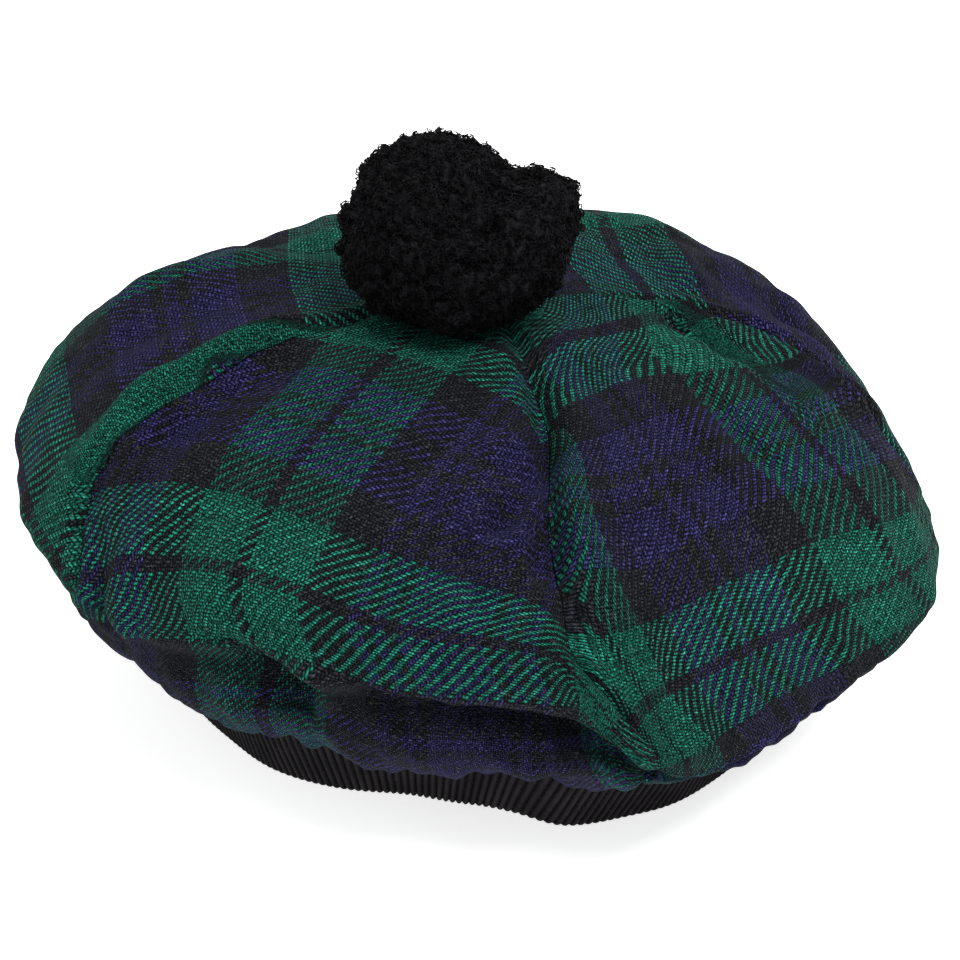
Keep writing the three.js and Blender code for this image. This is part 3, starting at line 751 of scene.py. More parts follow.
# %% Seams
SEAM_STATIONS = np.array([0, 0.2, 0.42, 0.56, 0.66, 1.0])
SEAMS = [
    ("front", (27, 20, 13, 13, 23, 25)),
    ("right", (112, 110, 98, 93, 93, 96)),
    ("back", (200, 200, 199, 197, 196, 196)),
    ("left", (286, 288, 290.5, 290.5, 299, 297)),
]
SEAM_DEPTH = 2.0
SEAM_WIDTH = 2.4
SEAM_BANK = 0.5
SEAM_SHOWN = [0.1, 0.34, 0.2, 0.2]  # how far from the crown's centre each seam starts to dip
SEAM_HIDING = 9.0


def at_stations(bearings, t):
    """A bearing in radians at a distance along the cloth, from its values at the stations."""
    k = np.clip(np.searchsorted(SEAM_STATIONS, t, side="right") - 1, 0, len(SEAM_STATIONS) - 2)
    f = smooth_step((t - SEAM_STATIONS[k]) / (SEAM_STATIONS[k + 1] - SEAM_STATIONS[k]))
    return np.radians(bearings[k] + (bearings[k + 1] - bearings[k]) * f)


def seam_angle(index, t):
    """Bearing of a seam in radians at a distance along the cloth."""
    return at_stations(np.array(SEAMS[index % 4][1], float) + 360.0 * (index // 4), t)


def seam_hidden(index, t):
    """Distance in mm added near the crown, where the stretched cloth hides a seam's dip."""
    return SEAM_HIDING * (1 - smooth_step(t / SEAM_SHOWN[index % 4]))


def seam_dip(distance):
    """How far the cloth rolls down into a seam, with a slight bank beside it."""
    groove = SEAM_DEPTH * np.exp(-((distance / SEAM_WIDTH) ** 2))
    bank = SEAM_BANK * np.exp(-(((distance - 2.2 * SEAM_WIDTH) / SEAM_WIDTH) ** 2))
    return bank - groove


def cloth_surface(angle, t, seam_distance):
    """The finished cloth's outer face in mm."""
    lift = fold_height(angle, t, FOLDS) + fold_height(angle, t, WRINKLES) + gather_height(angle, t)
    lift = lift + pleat_height(angle, t) + sway_height(angle, t) + seam_dip(seam_distance)
    return plain_surface(angle, t) + normals_of(plain_surface, angle, t) * lift[..., None]


print("seams:", ", ".join(name for name, bearings in SEAMS))

# %% [markdown]
# ## The grain of each panel
# The panels are cut from one cloth, each turned its own way, so the check meets itself
# askew at every seam. A panel's flat place is worked out from its bearing, its distance
# along the cloth and how wide the bonnet is there. Each panel then says how its grain lies:
# the turn, where a green band starts, and how many millimetres a thread takes. The two front
# panels are pulled about more, so their rows sag, and threads close up beside the seams.
# Beside the left seam the cloth also rolls over, and beside the right one it is folded under.

# %% Grain of the panels
GRAIN_MIDDLES = [  # bearing of each panel's middle line at the seam stations
    (69.5, 65, 55.5, 53, 58, 60.5), (156, 155, 148.5, 145, 144.5, 146),
    (242, 242, 242.5, 242.5, 243, 243), (335.5, 332.5, 329.5, 330.5, 336.5, 337.5),
]


def flat_panel_place(index, angle, t):
    """Place in mm on a panel laid flat: across from its middle line, and down from the centre."""
    step = math.radians(1)
    round_step = plain_surface(angle + step, t) - plain_surface(angle - step, t)
    local_radius = np.linalg.norm(round_step, axis=-1) / (2 * step)
    reach = FLAT_RADIUS * t
    share = np.clip(local_radius / np.maximum(reach, 1.0), 0, 1.2)
    spread = (angle - at_stations(np.array(GRAIN_MIDDLES[index], float), t)) * share
    return reach * np.sin(spread), reach * np.cos(spread)


def turned(x, y, turn):
    """Places measured across and along a grain that is turned by an angle in degrees."""
    a = math.radians(turn)
    return x * math.cos(a) + y * math.sin(a), -x * math.sin(a) + y * math.cos(a)


# mm down the front left panel, and the thread that lies there.
SLACK_ROWS = [(-60, -130), (57.5, 0), (146.6, 99), (170, 115), (240, 193)]


def front_left_grain(x, y):
    """Straight grain, drawn up towards both seams near the rim, and slack in the tuck."""
    drawn_in = 0.003 + 0.0034 * smooth_step((y - 92) / 25)
    level = y + drawn_in * np.maximum(x - 21, 0) ** 2 + 0.001 * np.maximum(-x - 40, 0) ** 2
    return (x + 32.5) / 0.95 + GREEN_START, np.interp(level, *zip(*SLACK_ROWS))


# mm down the front right panel, and the thread that lies there; its cloth is eased unevenly.
EASED_ROWS = [(-60, -109), (27, -38), (54, -16), (71, 0), (105, 39), (119, 55), (132.5, 77), (146, 99),
              (153, 115), (163, 130), (236, 209)]


def front_right_grain(x, y):
    """Grain drawn in beside the front seam, with rows that sag towards the right."""
    leaning = 1.4 * np.maximum(52 - y, 0) * smooth_step((x + 45) / 60)
    folded_under = 19 * smooth_step((x - 35) / 7) * smooth_step((80 - y) / 16)
    inner = x + 11 - 5 * smooth_step((y - 95) / 30) * smooth_step((x + 14) / 15) - leaning + folded_under
    squeeze = 0.55 + 0.5 * smooth_step((y - 45) / 50)
    middle_part = inner / np.where(inner > 0, 0.9, squeeze)
    right_part = 16 + (inner - 14.4) / (1.13 - 0.5 * smooth_step((56 - y) / 10))
    seam_part = -NARROW_COUNT + (inner + NARROW_COUNT * squeeze) / 0.6
    beside_seam = inner < -NARROW_COUNT * squeeze
    threads = np.where(inner > 14.4, right_part, np.where(beside_seam, seam_part, middle_part))
    side = x + 12
    eased = smooth_step((y - 55) / 45)
    slope = 0.5 - np.where(side > 0, 0.43, 0.19) * eased
    level = y - slope * side + 0.0006 * np.maximum(side, 0) ** 2
    rows = np.interp(level, *zip(*EASED_ROWS))
    pulled = smooth_step((x - 28) / 12) * smooth_step((level - 53) / 7) * smooth_step((97 - level) / 25)
    return threads + NARROW_COUNT, rows + 11 * pulled


def back_right_grain(x, y):
    """Grain along the right seam."""
    across, along = turned(x, y, 45)
    return (across + 5) / 1.05 + 115, (along - 70) / 0.79 - 16


def left_roll(x, y):
    """1 where the cloth rolls over beside the left seam and only its green yarns show."""
    across, along = turned(x, y, -37)
    lower = 13 + 6 * smooth_step((along - 84) / 10)
    return smooth_step(across - 7) * smooth_step(lower - across) * smooth_step((132 - along) / 4)


def right_strip(x, y):
    """1 on the strip that is drawn close together beside the right seam."""
    return smooth_step((x - 35) / 4) * smooth_step((88 - y) / 10)


def back_left_grain(x, y):
    """Grain along the left seam."""
    across, along = turned(x, y, -37)
    return (across - 7) / 0.75 + GREEN_START, along - 71


PANELS = [  # CAD node, new piece, grain
    ("crown_panel_front_right", "cloth_front_right", front_right_grain),
    ("crown_panel_back_right", "cloth_back_right", back_right_grain),
    ("crown_panel_back_left", "cloth_back_left", back_left_grain),
    ("crown_panel_front_left", "cloth_front_left", front_left_grain),
]
print("grain set for", len(PANELS), "panels")

# %% [markdown]
# ## Closed sheets
# Cloth has two faces and an edge. A Solidify modifier would give them, but the bonnet's
# walls are made here row by row instead, because then the outer face is exactly the rule's
# surface, and the map of threads is shared by both faces.

# %% Sheet with a wall
def grid_quads(columns, rows, start, flip=False):
    """Faces of a grid of points whose number is column * rows + row."""
    i = np.arange(columns - 1)[:, None]
    j = np.arange(rows - 1)[None, :]
    corner = start + i * rows + j
    quads = np.stack([corner, corner + 1, corner + rows + 1, corner + rows], -1).reshape(-1, 4)
    return quads[:, ::-1] if flip else quads


def strip_quads(first, second):
    """Faces that join two lines of points."""
    return np.stack([first[:-1], second[:-1], second[1:], first[1:]], -1)


def new_mesh(name, points, quads, material, maps=None):
    """A smooth mesh object at the origin, with its maps."""
    mesh = bpy.data.meshes.new(name)
    mesh.from_pydata([tuple(p) for p in points], [], [tuple(q) for q in quads.tolist()])
    mesh.update()
    corners = np.zeros(len(mesh.loops), np.int32)
    mesh.loops.foreach_get("vertex_index", corners)
    for map_name, values in (maps or {}).items():
        layer = mesh.uv_layers.new(name=map_name)
        layer.uv.foreach_set("vector", np.asarray(values, np.float32)[corners].ravel())
    mesh.shade_smooth()
    mesh.materials.append(material)
    made = bpy.data.objects.new(name, mesh)
    bpy.context.scene.collection.objects.link(made)
    return made


def grid_normals(points):
    """Outward normals of a grid that runs round the bonnet and then down it."""
    round_step = np.gradient(points, axis=0)
    down_step = np.gradient(points, axis=1)
    normal = np.cross(down_step, round_step)
    return normal / np.maximum(np.linalg.norm(normal, axis=-1, keepdims=True), 1e-9)


def walled_sheet(name, outer, wall, material, maps):
    """A closed sheet from its outer face, a grid in mm, and its thickness."""
    columns, rows = outer.shape[:2]
    inner = outer - grid_normals(outer) * wall
    count = columns * rows
    number = np.arange(count).reshape(columns, rows)
    quads = [grid_quads(columns, rows, 0), grid_quads(columns, rows, count, flip=True)]
    quads.append(strip_quads(number[:, 0], number[:, 0] + count)[:, ::-1])
    quads.append(strip_quads(number[:, -1], number[:, -1] + count))
    quads.append(strip_quads(number[0], number[0] + count))
    quads.append(strip_quads(number[-1], number[-1] + count)[:, ::-1])
    points = to_frame(np.concatenate([outer.reshape(-1, 3), inner.reshape(-1, 3)]))
    both = {key: np.concatenate([value.reshape(-1, 2)] * 2) for key, value in maps.items()}
    return new_mesh(name, points, np.concatenate(quads), material, both)


# %% [markdown]
# ## Crown panels
# Each panel is a grid between two seams. Its columns crowd together near the seams, where
# the cloth rolls under, and its rows near the rim, where the folds are small.

# %% Make the four panels
CLOTH = 1.2
COLUMNS = 150
CROWN_ROWS = 84
RIM_ROWS = 96
TIE_HOLE = 3.0
SEAM_GAP = 0.08
TUCK_CLOSENESS = 0.75
hole_t = TIE_HOLE * RINGS[1] / (CROWN_REACH * SECTION_ROWS[0][3])
STATIONS = np.concatenate([
    np.linspace(hole_t, 0.58, CROWN_ROWS, endpoint=False),
    np.linspace(0.58, 1.0, RIM_ROWS),
])


def make_panel(index):
    """One quarter of the crown."""
    node, name, grain = PANELS[index]
    share = np.linspace(0, 1, COLUMNS + 1)
    share = share - 0.5 * np.sin(TURN * share) / TURN
    t = np.broadcast_to(STATIONS, (len(share), len(STATIONS)))
    radius = section_point(seam_angle(index, STATIONS), STATIONS)[0]
    inset = SEAM_GAP / np.maximum(radius, 1)
    start = seam_angle(index, STATIONS) + inset
    end = seam_angle(index + 1, STATIONS) - inset
    angle = start + (end - start) * share[:, None]
    to_start = (angle - start) * radius + seam_hidden(index, t)
    to_end = (end - angle) * radius + seam_hidden(index + 1, t)
    to_seam = np.minimum(to_start, to_end)
    outer = cloth_surface(angle, t, to_seam)
    place = flat_panel_place(index, angle, t)
    roll = left_roll(*place) if grain is back_left_grain else np.zeros_like(t)
    closer = right_strip(*place) if grain is front_right_grain else roll
    closer = np.maximum(closer, TUCK_CLOSENESS * smooth_step((t - 0.66) / 0.08))
    maps = {"threads": np.stack(grain(*place), -1), "roll": np.stack([roll, closer], -1)}
    return walled_sheet(name, outer, CLOTH, wool, maps)


panels = [make_panel(index) for index in range(len(PANELS))]
for (node, name, grain), panel in zip(PANELS, panels):
    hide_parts(node)
    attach(panel, "root")
    print(name, len(panel.data.polygons), "faces")

# %% [markdown]
# ## Seam turnings
# Where two panels are sewn, their edges turn inwards and are pressed open. They can be seen
# from below, and they close each seam from inside.

# %% Turnings under the seams
TURNING = 8.0
TURNING_WALL = 1.0
TURNING_STEP = 0.35


def make_turning(index):
    """The pressed-open edges under one seam, and the places of its two raw edges."""
    t = STATIONS[::2]
    radius = section_point(seam_angle(index, t), t)[0]
    half = np.minimum(TURNING, 0.3 * radius)
    side = np.linspace(-1, 1, 13)[:, None]
    angle = seam_angle(index, t) + side * half / radius
    rows = np.broadcast_to(t, angle.shape)
    over = cloth_surface(angle, rows, np.abs(side) * half + seam_hidden(index, rows))
    under = over - grid_normals(over) * (CLOTH + TURNING_STEP)
    place = flat_panel_place(index, angle, rows)
    threads_map = np.stack(PANELS[index][2](*place), -1)
    made = walled_sheet("turning_" + SEAMS[index][0], under, TURNING_WALL, wool, {"threads": threads_map})
    return made, [under[0], under[-1]]


raw_edges = []
for index in range(len(SEAMS)):
    made, edges = make_turning(index)
    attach(made, "root")
    raw_edges += edges

# %% [markdown]
# ## Stitches along an edge
# A raw edge is oversewn: the thread winds round it again and again. One loop is a thin ring,
# and Geometry Nodes set a leaning copy of it every few millimetres along a line, which is
# how a row of stitches is usually made in Blender. The same tree serves every edge.

# %% Oversewing tree
oversew, given, result = new_group(
    "oversewn_edge", "GeometryNodeTree",
    [("Geometry", "shape", None), ("Stitch Pitch", "value", 0.0028), ("Loop Radius", "value", 0.0011),
     ("Thread Radius", "value", 0.00022), ("Lean", "value", 0.6), ("Thread", "material", None)],
    [("Geometry", "shape")],
)
line = add(oversew, "GeometryNodeMeshToCurve", {"Mesh": given["Geometry"]}).outputs["Curve"]
spots = add(oversew, "GeometryNodeCurveToPoints", {"Curve": line, "Length": given["Stitch Pitch"]},
            mode="LENGTH")
ring = add(oversew, "GeometryNodeCurvePrimitiveCircle", {"Resolution": 10, "Radius": given["Loop Radius"]})
round_thread = add(oversew, "GeometryNodeCurvePrimitiveCircle",
                   {"Resolution": 4, "Radius": given["Thread Radius"]})
loop = add(oversew, "GeometryNodeCurveToMesh",
           {"Curve": ring.outputs["Curve"], "Profile Curve": round_thread.outputs["Curve"]})
tilt = add(oversew, "ShaderNodeCombineXYZ", {"X": given["Lean"], "Y": 0.3})
leaning = add(oversew, "FunctionNodeRotateEuler",
              {"Rotation": spots.outputs["Rotation"], "Rotate By": tilt.outputs[0]}, space="LOCAL")
placed = add(oversew, "GeometryNodeInstanceOnPoints",
             {"Points": spots.outputs["Points"], "Instance": loop.outputs["Mesh"],
              "Rotation": leaning.outputs[0]})
real = add(oversew, "GeometryNodeRealizeInstances", {"Geometry": placed.outputs["Instances"]})
rounded = add(oversew, "GeometryNodeSetShadeSmooth", {"Geometry": real.outputs["Geometry"]})
finished = add(oversew, "GeometryNodeSetMaterial",
               {"Geometry": rounded.outputs["Geometry"], "Material": given["Thread"]})
fill(oversew, result.inputs["Geometry"], finished.outputs["Geometry"])
print("oversewing:", len(oversew.nodes), "nodes")


# %% Run a tree and keep its mesh
def grown(name, source, tree, values):
    """A plain mesh object from running a node tree on source, which is then removed."""
    modifier = source.modifiers.new(tree.name, "NODES")
    modifier.node_group = tree
    for item in tree.interface.items_tree:
        if item.item_type == "SOCKET" and item.in_out == "INPUT" and item.name in values:
            modifier[item.identifier] = values[item.name]
    source.update_tag()
    evaluated = source.evaluated_get(bpy.context.evaluated_depsgraph_get())
    mesh = bpy.data.meshes.new_from_object(evaluated)
    mesh.name = name
    made = bpy.data.objects.new(name, mesh)
    bpy.context.scene.collection.objects.link(made)
    bpy.data.objects.remove(source)
    return made


def line_object(lines_mm):
    """A mesh of edges only, one run for each line of points."""
    points = to_frame(np.concatenate(lines_mm))
    edges = []
    first = 0
    for line_points in lines_mm:
        edges += [(first + k, first + k + 1) for k in range(len(line_points) - 1)]
        first += len(line_points)
    mesh = bpy.data.meshes.new("line")
    mesh.from_pydata([tuple(p) for p in points], edges, [])
    made = bpy.data.objects.new("line", mesh)
    bpy.context.scene.collection.objects.link(made)
    return made


# %% Oversew the turnings
seam_stitches = grown("seam_oversewing", line_object(raw_edges), oversew, {"Thread": thread_finish})
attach(seam_stitches, "root")
print("seam oversewing:", len(seam_stitches.data.polygons), "faces")

# %% [markdown]
# ## Headband
# The band is a doubled tube of fine rib knit, folded at its lower edge. Its ribs could be a
# bump alone, but their ends show at the fold, so they are real: the ring's section is swept
# round the outline with six columns to a rib, and a node tree presses the furrows in. At the
# front and back the stretched ribs stand straight, and at the sides they lean, so the
# columns lean with them. The stitches inside a rib stay in the finish.

# %% Rib tree
ribs, given, result = new_group(
    "rib_knit", "GeometryNodeTree",
    [("Geometry", "shape", None), ("Rib Depth", "value", 0.0008), ("Roundness", "value", 0.9),
     ("Knit", "material", None)],
    [("Geometry", "shape")],
)
map_place = add(ribs, "GeometryNodeInputNamedAttribute", {"Name": "stitches"}, data_type="FLOAT_VECTOR")
rib_number = add(ribs, "ShaderNodeSeparateXYZ", {0: map_place.outputs["Attribute"]}).outputs["X"]
wave = maths(ribs, "ABSOLUTE", maths(ribs, "SINE", maths(ribs, "MULTIPLY", rib_number, math.pi)))
swell = maths(ribs, "POWER", wave, given["Roundness"])
sink = maths(ribs, "MULTIPLY", maths(ribs, "SUBTRACT", swell, 1.0), given["Rib Depth"])
outward = add(ribs, "GeometryNodeInputNormal").outputs["Normal"]
offset = add(ribs, "ShaderNodeVectorMath", {0: outward, "Scale": sink}, operation="SCALE").outputs[0]
pressed = add(ribs, "GeometryNodeSetPosition", {"Geometry": given["Geometry"], "Offset": offset})
smoothed = add(ribs, "GeometryNodeSetShadeSmooth", {"Geometry": pressed.outputs["Geometry"]})
real = add(ribs, "GeometryNodeRealizeInstances", {"Geometry": smoothed.outputs["Geometry"]})
dressed = add(ribs, "GeometryNodeSetMaterial",
              {"Geometry": real.outputs["Geometry"], "Material": given["Knit"]})
fill(ribs, result.inputs["Geometry"], dressed.outputs["Geometry"])
print("rib knit:", len(ribs.nodes), "nodes")

# %% Make the headband
RIBS = 244
RIB_COLUMNS = 6
BAND_WALL = 3.0
STITCH_ROW = 1.5
RIB_FAN = 0.5      # ribs that a rib leans by over each millimetre up, at most
RIB_UPRIGHT = 0.09  # radians from the front to where the ribs stand straight
SLACK_CLEARANCE = 0.3
BAND_HEIGHT = (BAND_HIGH.z - BAND_LOW.z) / MM


def band_section():
    """The band's closed section: steps in from the outline, and heights, in mm."""
    fold = BAND_WALL / 2
    levels = np.linspace(BAND_HEIGHT - fold, fold, 15)
    bend = np.linspace(0, math.pi, 9)[1:-1]
    ins = [0 * levels, fold - fold * np.cos(bend), BAND_WALL + 0 * levels, fold + fold * np.cos(bend)]
    ups = [levels, fold - fold * np.sin(bend), levels[::-1], BAND_HEIGHT - fold + fold * np.sin(bend)]
    return np.concatenate(ins), np.concatenate(ups)


def make_band():
    """The ring of the band, with its map counted in ribs and stitch rows."""
    step_in, up = band_section()
    columns = RIBS * RIB_COLUMNS
    rib = np.arange(columns + 1) / RIB_COLUMNS
    angle = rib[:-1, None] / RIBS * TURN
    angle = angle + RIB_FAN * np.sin(angle + RIB_UPRIGHT) * up * TURN / RIBS
    slack = 0.35 * np.sin(9 * angle + 1) + 0.25 * np.sin(17 * angle + 2)
    slack = slack * (1 - up / BAND_HEIGHT)
    plan = bearing_point(angle, band_radius(angle) - step_in + slack - SLACK_CLEARANCE)
    points = np.concatenate([plan, np.broadcast_to(up, angle.shape)[..., None]], -1)
    around = len(up)
    i = np.arange(columns)[:, None]
    j = np.arange(around)[None, :]
    number = lambda a, b: (a % columns) * around + b % around
    quads = np.stack([number(i, j), number(i, j + 1), number(i + 1, j + 1), number(i + 1, j)], -1)
    made = new_mesh("band", to_frame(points.reshape(-1, 3)), quads.reshape(-1, 4), knit)
    straight = rib[:-1, None] + 0 * up
    course = np.cumsum(np.hypot(np.diff(step_in, append=step_in[0]), np.diff(up, append=up[0]))) / STITCH_ROW
    place = np.stack([straight, np.broadcast_to(course, straight.shape)], -1).reshape(-1, 2)
    corners = np.zeros(len(made.data.loops), np.int32)
    made.data.loops.foreach_get("vertex_index", corners)
    layer = made.data.uv_layers.new(name="stitches")
    layer.uv.foreach_set("vector", place.astype(np.float32)[corners].ravel())
    return made


band = grown("band_ribbed", make_band(), ribs, {"Knit": knit})
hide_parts("headband")
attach(band, "root")
print("headband:", len(band.data.polygons), "faces and", RIBS, "ribs")

# %% [markdown]
# ## Join of cloth and band
# Inside, the gathered edge of the cloth is oversewn to the band all the way round.

# %% Oversew the join
join_angle = np.linspace(0, TURN, 400)
join_plan = bearing_point(join_angle, band_radius(join_angle) - BAND_WALL + 0.4)
join_line = np.concatenate([join_plan, np.full((len(join_angle), 1), HEM_HEIGHT + 1.5)], -1)
join_stitches = grown("band_oversewing", line_object([join_line]), oversew,
                      {"Thread": thread_finish, "Loop Radius": 0.0016, "Stitch Pitch": 0.0035})
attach(join_stitches, "root")
print("band oversewing:", len(join_stitches.data.polygons), "faces")

# %% [markdown]
# ## Pompom
# A pompom is hundreds of cut yarn ends tied in the middle. Its outline is a lumpy ball, and
# the curling ends cover it. A hair system would make fine strands, but they don't export as
# a mesh. Here the ball is a plain mesh, and Geometry Nodes scatter short curls of yarn over
# it, each one a bent three-sided tube.

# %% The ball
POMPOM_CENTRE = np.array([-10.5, 16.5, 138.5])
POMPOM_RADII = np.array([33.0, 31.0, 26.5])
CURL_REACH = 1.2
RIPPLE = 4.0
RIPPLE_SINK = 1.2
RIPPLE_FINENESS = 0.16
LOBES = [  # bearing, rise, spread in degrees, height in mm
    (-135, 52, 24, 4.5), (-98, 48, 13, -3.5), (-106, 25, 22, 1.2), (-92, -5, 30, 1.0), (108, 30, 21, 5.0),
    (90, 0, 25, -0.6), (132, 48, 16, -4.0), (154, 56, 12, -1.0), (-60, -20, 30, 2.4), (-60, 52, 24, 3.0),
    (78, 24, 20, 3.0),
    (98, 64, 15, -8.0), (45, 55, 13, -6.5), (22, 34, 11, -6.0), (10, 12, 9, -4.5), (0, -35, 25, 2.0),
]
TUFTS = [  # small tufts and partings: bearing, rise, spread, height
    (-35, 40, 10, 2.6), (5, 44, 8, -2.6), (50, 30, 10, 2.4), (-20, 12, 10, 2.2), (25, 6, 8, -2.6),
    (60, 2, 10, 2.4), (-52, 20, 8, -2.4), (-75, -18, 10, 2.0), (0, -28, 9, 2.0), (38, -25, 8, -2.2),
    (120, 10, 12, 2.2), (150, 50, 10, -2.6), (200, 35, 12, 2.6), (235, 10, 10, -2.4), (250, 50, 11, 2.4),
    (66, 66, 8, 2.0), (-5, 75, 8, 2.0), (100, 50, 8, -2.2), (-110, 35, 11, 2.2), (180, -15, 12, 2.0),
    (-60, 50, 7, -2.4), (-12, 30, 7, -2.2), (12, 20, 7, 2.0), (-40, -8, 8, -2.2), (75, 20, 7, -2.2),
    (-85, 25, 8, 2.0), (30, -8, 8, 2.0), (-55, -35, 9, 1.8), (70, -22, 9, 1.8), (140, 62, 9, 4.0),
]


def direction(bearing, rise):
    """Unit vectors towards a bearing and a rise, in radians."""
    bearing, rise = np.broadcast_arrays(bearing, rise)
    return np.stack([np.sin(bearing) * np.cos(rise), -np.cos(bearing) * np.cos(rise), np.sin(rise)], -1)


def make_ball(columns=160, rows=96):
    """The pompom's inner ball, flattened where it sits on the crown."""
    bearing = np.arange(columns)[:, None] / columns * TURN
    rise = (np.linspace(0.004, 0.996, rows)[None, :] - 0.5) * math.pi
    way = direction(bearing, rise)
    swell = np.zeros(way.shape[:-1])
    for lobe_bearing, lobe_rise, spread, height in LOBES + TUFTS:
        lobe = direction(np.radians(lobe_bearing), np.radians(lobe_rise))
        apart = np.degrees(np.arccos(np.clip(way @ lobe, -1, 1)))
        swell += height * np.exp(-((apart / spread) ** 2))
    points = POMPOM_CENTRE + way * (POMPOM_RADII - CURL_REACH + swell[..., None])
    spots = [Vector(point) * RIPPLE_FINENESS for point in points.reshape(-1, 3)]
    ripple = np.array([abs(noise.fractal(spot, 0.7, 2.1, 3)) for spot in spots])
    points = points + way * (RIPPLE * ripple.reshape(columns, rows) - RIPPLE_SINK)[..., None]
    seat = (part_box("pompom")[0].z - SHIFT[2]) / MM
    points[..., 2] = np.maximum(points[..., 2], seat)
    i = np.arange(columns)[:, None]
    j = np.arange(rows - 1)[None, :]
    number = lambda a, b: (a % columns) * rows + b
    quads = np.stack([number(i, j), number(i + 1, j), number(i + 1, j + 1), number(i, j + 1)], -1)
    caps = [[number(k, 0) for k in range(columns)][::-1], [number(k, rows - 1) for k in range(columns)]]
    mesh = bpy.data.meshes.new("pompom_ball")
    faces = [tuple(q) for q in quads.reshape(-1, 4).tolist()] + [tuple(int(v) for v in cap) for cap in caps]
    mesh.from_pydata([tuple(p) for p in to_frame(points.reshape(-1, 3))], [], faces)
    mesh.shade_smooth()
    mesh.materials.append(yarn)
    made = bpy.data.objects.new("pompom_ball", mesh)
    bpy.context.scene.collection.objects.link(made)
    return made


ball = make_ball()
print("pompom ball:", len(ball.data.polygons), "faces")

# %% Yarn curl tree
curls, given, result = new_group(
    "yarn_curls", "GeometryNodeTree",
    [("Geometry", "shape", None), ("Curls Per Square Metre", "value", 200000.0),
     ("Curl Radius", "value", 0.0010), ("Curl Length", "value", 0.0008), ("Yarn Radius", "value", 0.0002),
     ("Turns", "value", 0.9), ("Lean", "value", 0.7), ("Seed", "count", 1), ("Yarn", "material", None)],
    [("Geometry", "shape")],
)
ends = add(curls, "GeometryNodeDistributePointsOnFaces",
           {"Mesh": given["Geometry"], "Density": given["Curls Per Square Metre"], "Seed": given["Seed"]})
curl_end = maths(curls, "MULTIPLY", given["Curl Radius"], 0.6)
spiral = add(curls, "GeometryNodeCurveSpiral",
             {"Resolution": 6, "Rotations": given["Turns"], "Start Radius": given["Curl Radius"],
              "End Radius": curl_end, "Height": given["Curl Length"]})
strand = add(curls, "GeometryNodeCurvePrimitiveCircle", {"Resolution": 3, "Radius": given["Yarn Radius"]})
curl = add(curls, "GeometryNodeCurveToMesh",
           {"Curve": spiral.outputs["Curve"], "Profile Curve": strand.outputs["Curve"], "Fill Caps": True})
low_turn = add(curls, "ShaderNodeCombineXYZ", {"X": maths(curls, "MULTIPLY", given["Lean"], -1.0),
                                               "Y": maths(curls, "MULTIPLY", given["Lean"], -1.0)})
high_turn = add(curls, "ShaderNodeCombineXYZ", {"X": given["Lean"], "Y": given["Lean"], "Z": TURN})
chance = add(curls, "FunctionNodeRandomValue",
             {"Min": low_turn.outputs[0], "Max": high_turn.outputs[0], "Seed": given["Seed"]},
             data_type="FLOAT_VECTOR")
turned_end = add(curls, "FunctionNodeRotateEuler",
                 {"Rotation": ends.outputs["Rotation"], "Rotate By": chance.outputs["Value"]}, space="LOCAL")
size = add(curls, "FunctionNodeRandomValue", {2: 0.7, 3: 1.35, "Seed": given["Seed"]}, data_type="FLOAT")
scattered = add(curls, "GeometryNodeInstanceOnPoints",
                {"Points": ends.outputs["Points"], "Instance": curl.outputs["Mesh"],
                 "Rotation": turned_end.outputs[0], "Scale": size.outputs[1]})
real = add(curls, "GeometryNodeRealizeInstances", {"Geometry": scattered.outputs["Instances"]})
rounded = add(curls, "GeometryNodeSetShadeSmooth", {"Geometry": real.outputs["Geometry"]})
dyed = add(curls, "GeometryNodeSetMaterial",
           {"Geometry": rounded.outputs["Geometry"], "Material": given["Yarn"]})
fill(curls, result.inputs["Geometry"], dyed.outputs["Geometry"])
print("yarn curls:", len(curls.nodes), "nodes")

# %% Cover the ball
CURLS_TOGETHER = 3
CURL_DENSITY = 205000.0
tufts = []
for number in range(CURLS_TOGETHER):
    copy = ball.copy()
    copy.data = ball.data.copy()
    bpy.context.scene.collection.objects.link(copy)
    tuft = grown(f"pompom_curls_{number + 1}", copy, curls,
                 {"Curls Per Square Metre": CURL_DENSITY, "Seed": 11 + number, "Yarn": yarn})
    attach(tuft, "root")
    tufts.append(tuft)
    print(tuft.name, len(tuft.data.polygons), "faces")
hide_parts("pompom")
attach(ball, "root")

# %% [markdown]
# ## Flat size of the panels
# A quarter panel is a wedge of a disc, gathered at its hem. Its flat width and area are worked
# out from its widths at each distance.

def wedge_area(index):
    """Flat area in square metres of a quarter panel, from its widths at each distance."""
    t = np.linspace(0, 1, 60)
    widths = []
    for at in t:
        span = seam_angle(index + 1, at) - seam_angle(index, at)
        line_angle = seam_angle(index, at) + span * np.linspace(0, 1, 40)
        line = plain_surface(line_angle, np.full(40, at))
        widths.append(np.linalg.norm(np.diff(line, axis=0), axis=-1).sum())
    return float(np.mean(widths) * FLAT_RADIUS * MM * MM), max(widths) * MM


for index, panel in enumerate(panels):
    area, width = wedge_area(index)
    print(panel.name, "flat", round(width, 3), "x", FLAT_RADIUS * MM, "area", round(area, 4))

# %% [markdown]
# ## Floor and light
# A plain pale floor and soft light from all round show dark cloth best: a broad lamp above
# the front right models the folds, a weaker one from the front left fills them, a third from
# behind lights the far rim, and a pale sky does the rest. The sky lights the bonnet weakly but
# is seen white, so that it meets the floor without a line.

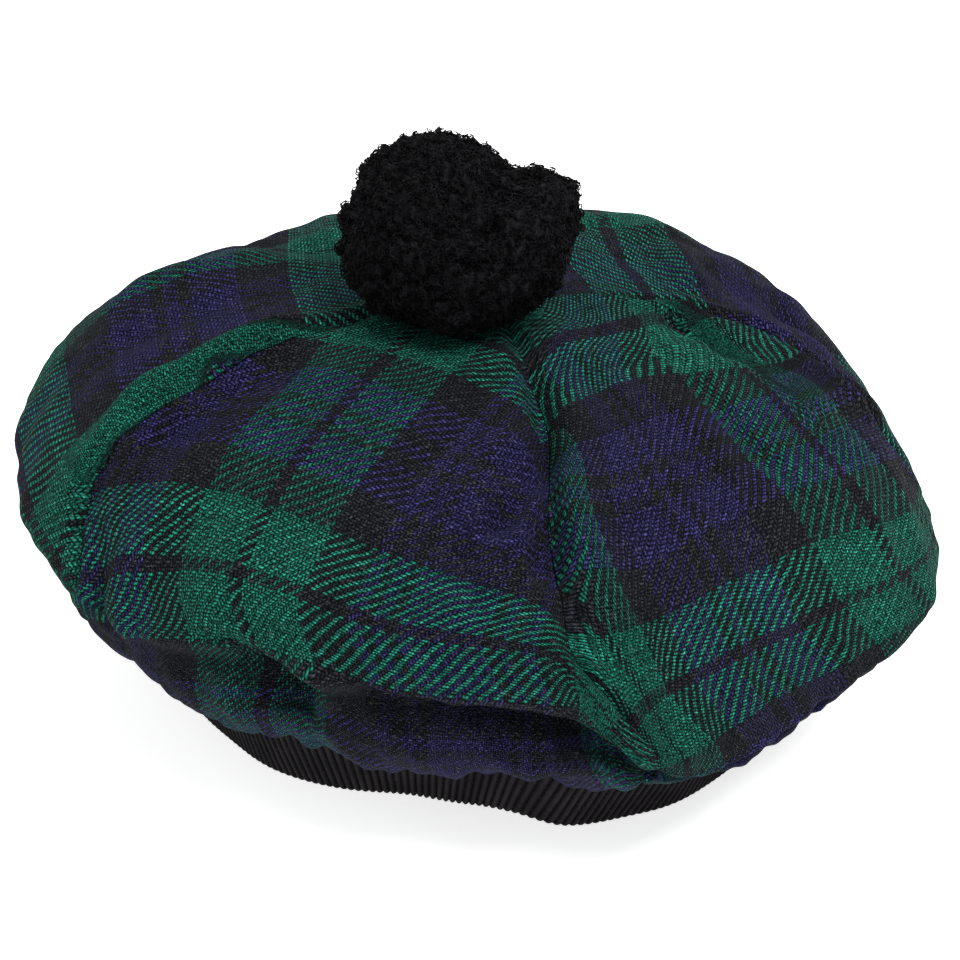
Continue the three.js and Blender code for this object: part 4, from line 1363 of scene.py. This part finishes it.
# %% Floor
floor_material, tree, shader = new_material("pale_floor")
here = add(tree, "ShaderNodeTexCoord").outputs["Object"]
speck = add(tree, "ShaderNodeTexNoise", {"Vector": here, "Scale": 6.0})
tone = mix_colour(tree, speck.outputs["Fac"], (0.86, 0.86, 0.86, 1), (0.88, 0.88, 0.88, 1))
fill(tree, shader.inputs["Base Color"], tone)
shader.inputs["Roughness"].default_value = 0.9
shader.inputs["Emission Color"].default_value = (1.0, 1.0, 1.0, 1)
shader.inputs["Emission Strength"].default_value = 0.7
FLOOR_HALF = 6.0
corners = [(-FLOOR_HALF, -FLOOR_HALF, 0), (FLOOR_HALF, -FLOOR_HALF, 0), (FLOOR_HALF, FLOOR_HALF, 0),
           (-FLOOR_HALF, FLOOR_HALF, 0)]
floor = new_mesh("floor", corners, np.array([[0, 1, 2, 3]]), floor_material)
print("floor made")

# %% Light
world = bpy.data.worlds.new("pale_sky")
bpy.context.scene.world = world
world.use_nodes = True
world.node_tree.nodes["Background"].inputs["Color"].default_value = (1.0, 1.0, 1.0, 1)
SKY_LIGHT = 0.45
SKY_SEEN = 1.0
sky = world.node_tree
seen = add(sky, "ShaderNodeLightPath").outputs["Is Camera Ray"]
fill(sky, sky.nodes["Background"].inputs["Strength"], remap(sky, seen, 0.0, 1.0, SKY_LIGHT, SKY_SEEN))
LAMPS = [  # name, place in metres, size in metres, watts
    ("key_light", (0.5, -0.6, 1.6), 0.8, 33),
    ("fill_light", (-1.2, -0.9, 1.1), 1.4, 8),
    ("back_light", (0.2, 1.4, 1.4), 1.4, 14),
]
for name, place, size, watts in LAMPS:
    lamp = bpy.data.lights.new(name, "AREA")
    lamp.size = size
    lamp.energy = watts
    holder = bpy.data.objects.new(name, lamp)
    holder.location = place
    holder.rotation_euler = (AIM - Vector(place)).to_track_quat("-Z", "Y").to_euler()
    bpy.context.scene.collection.objects.link(holder)
bpy.context.scene.view_settings.view_transform = "Standard"
print("lamps:", ", ".join(lamp[0] for lamp in LAMPS))
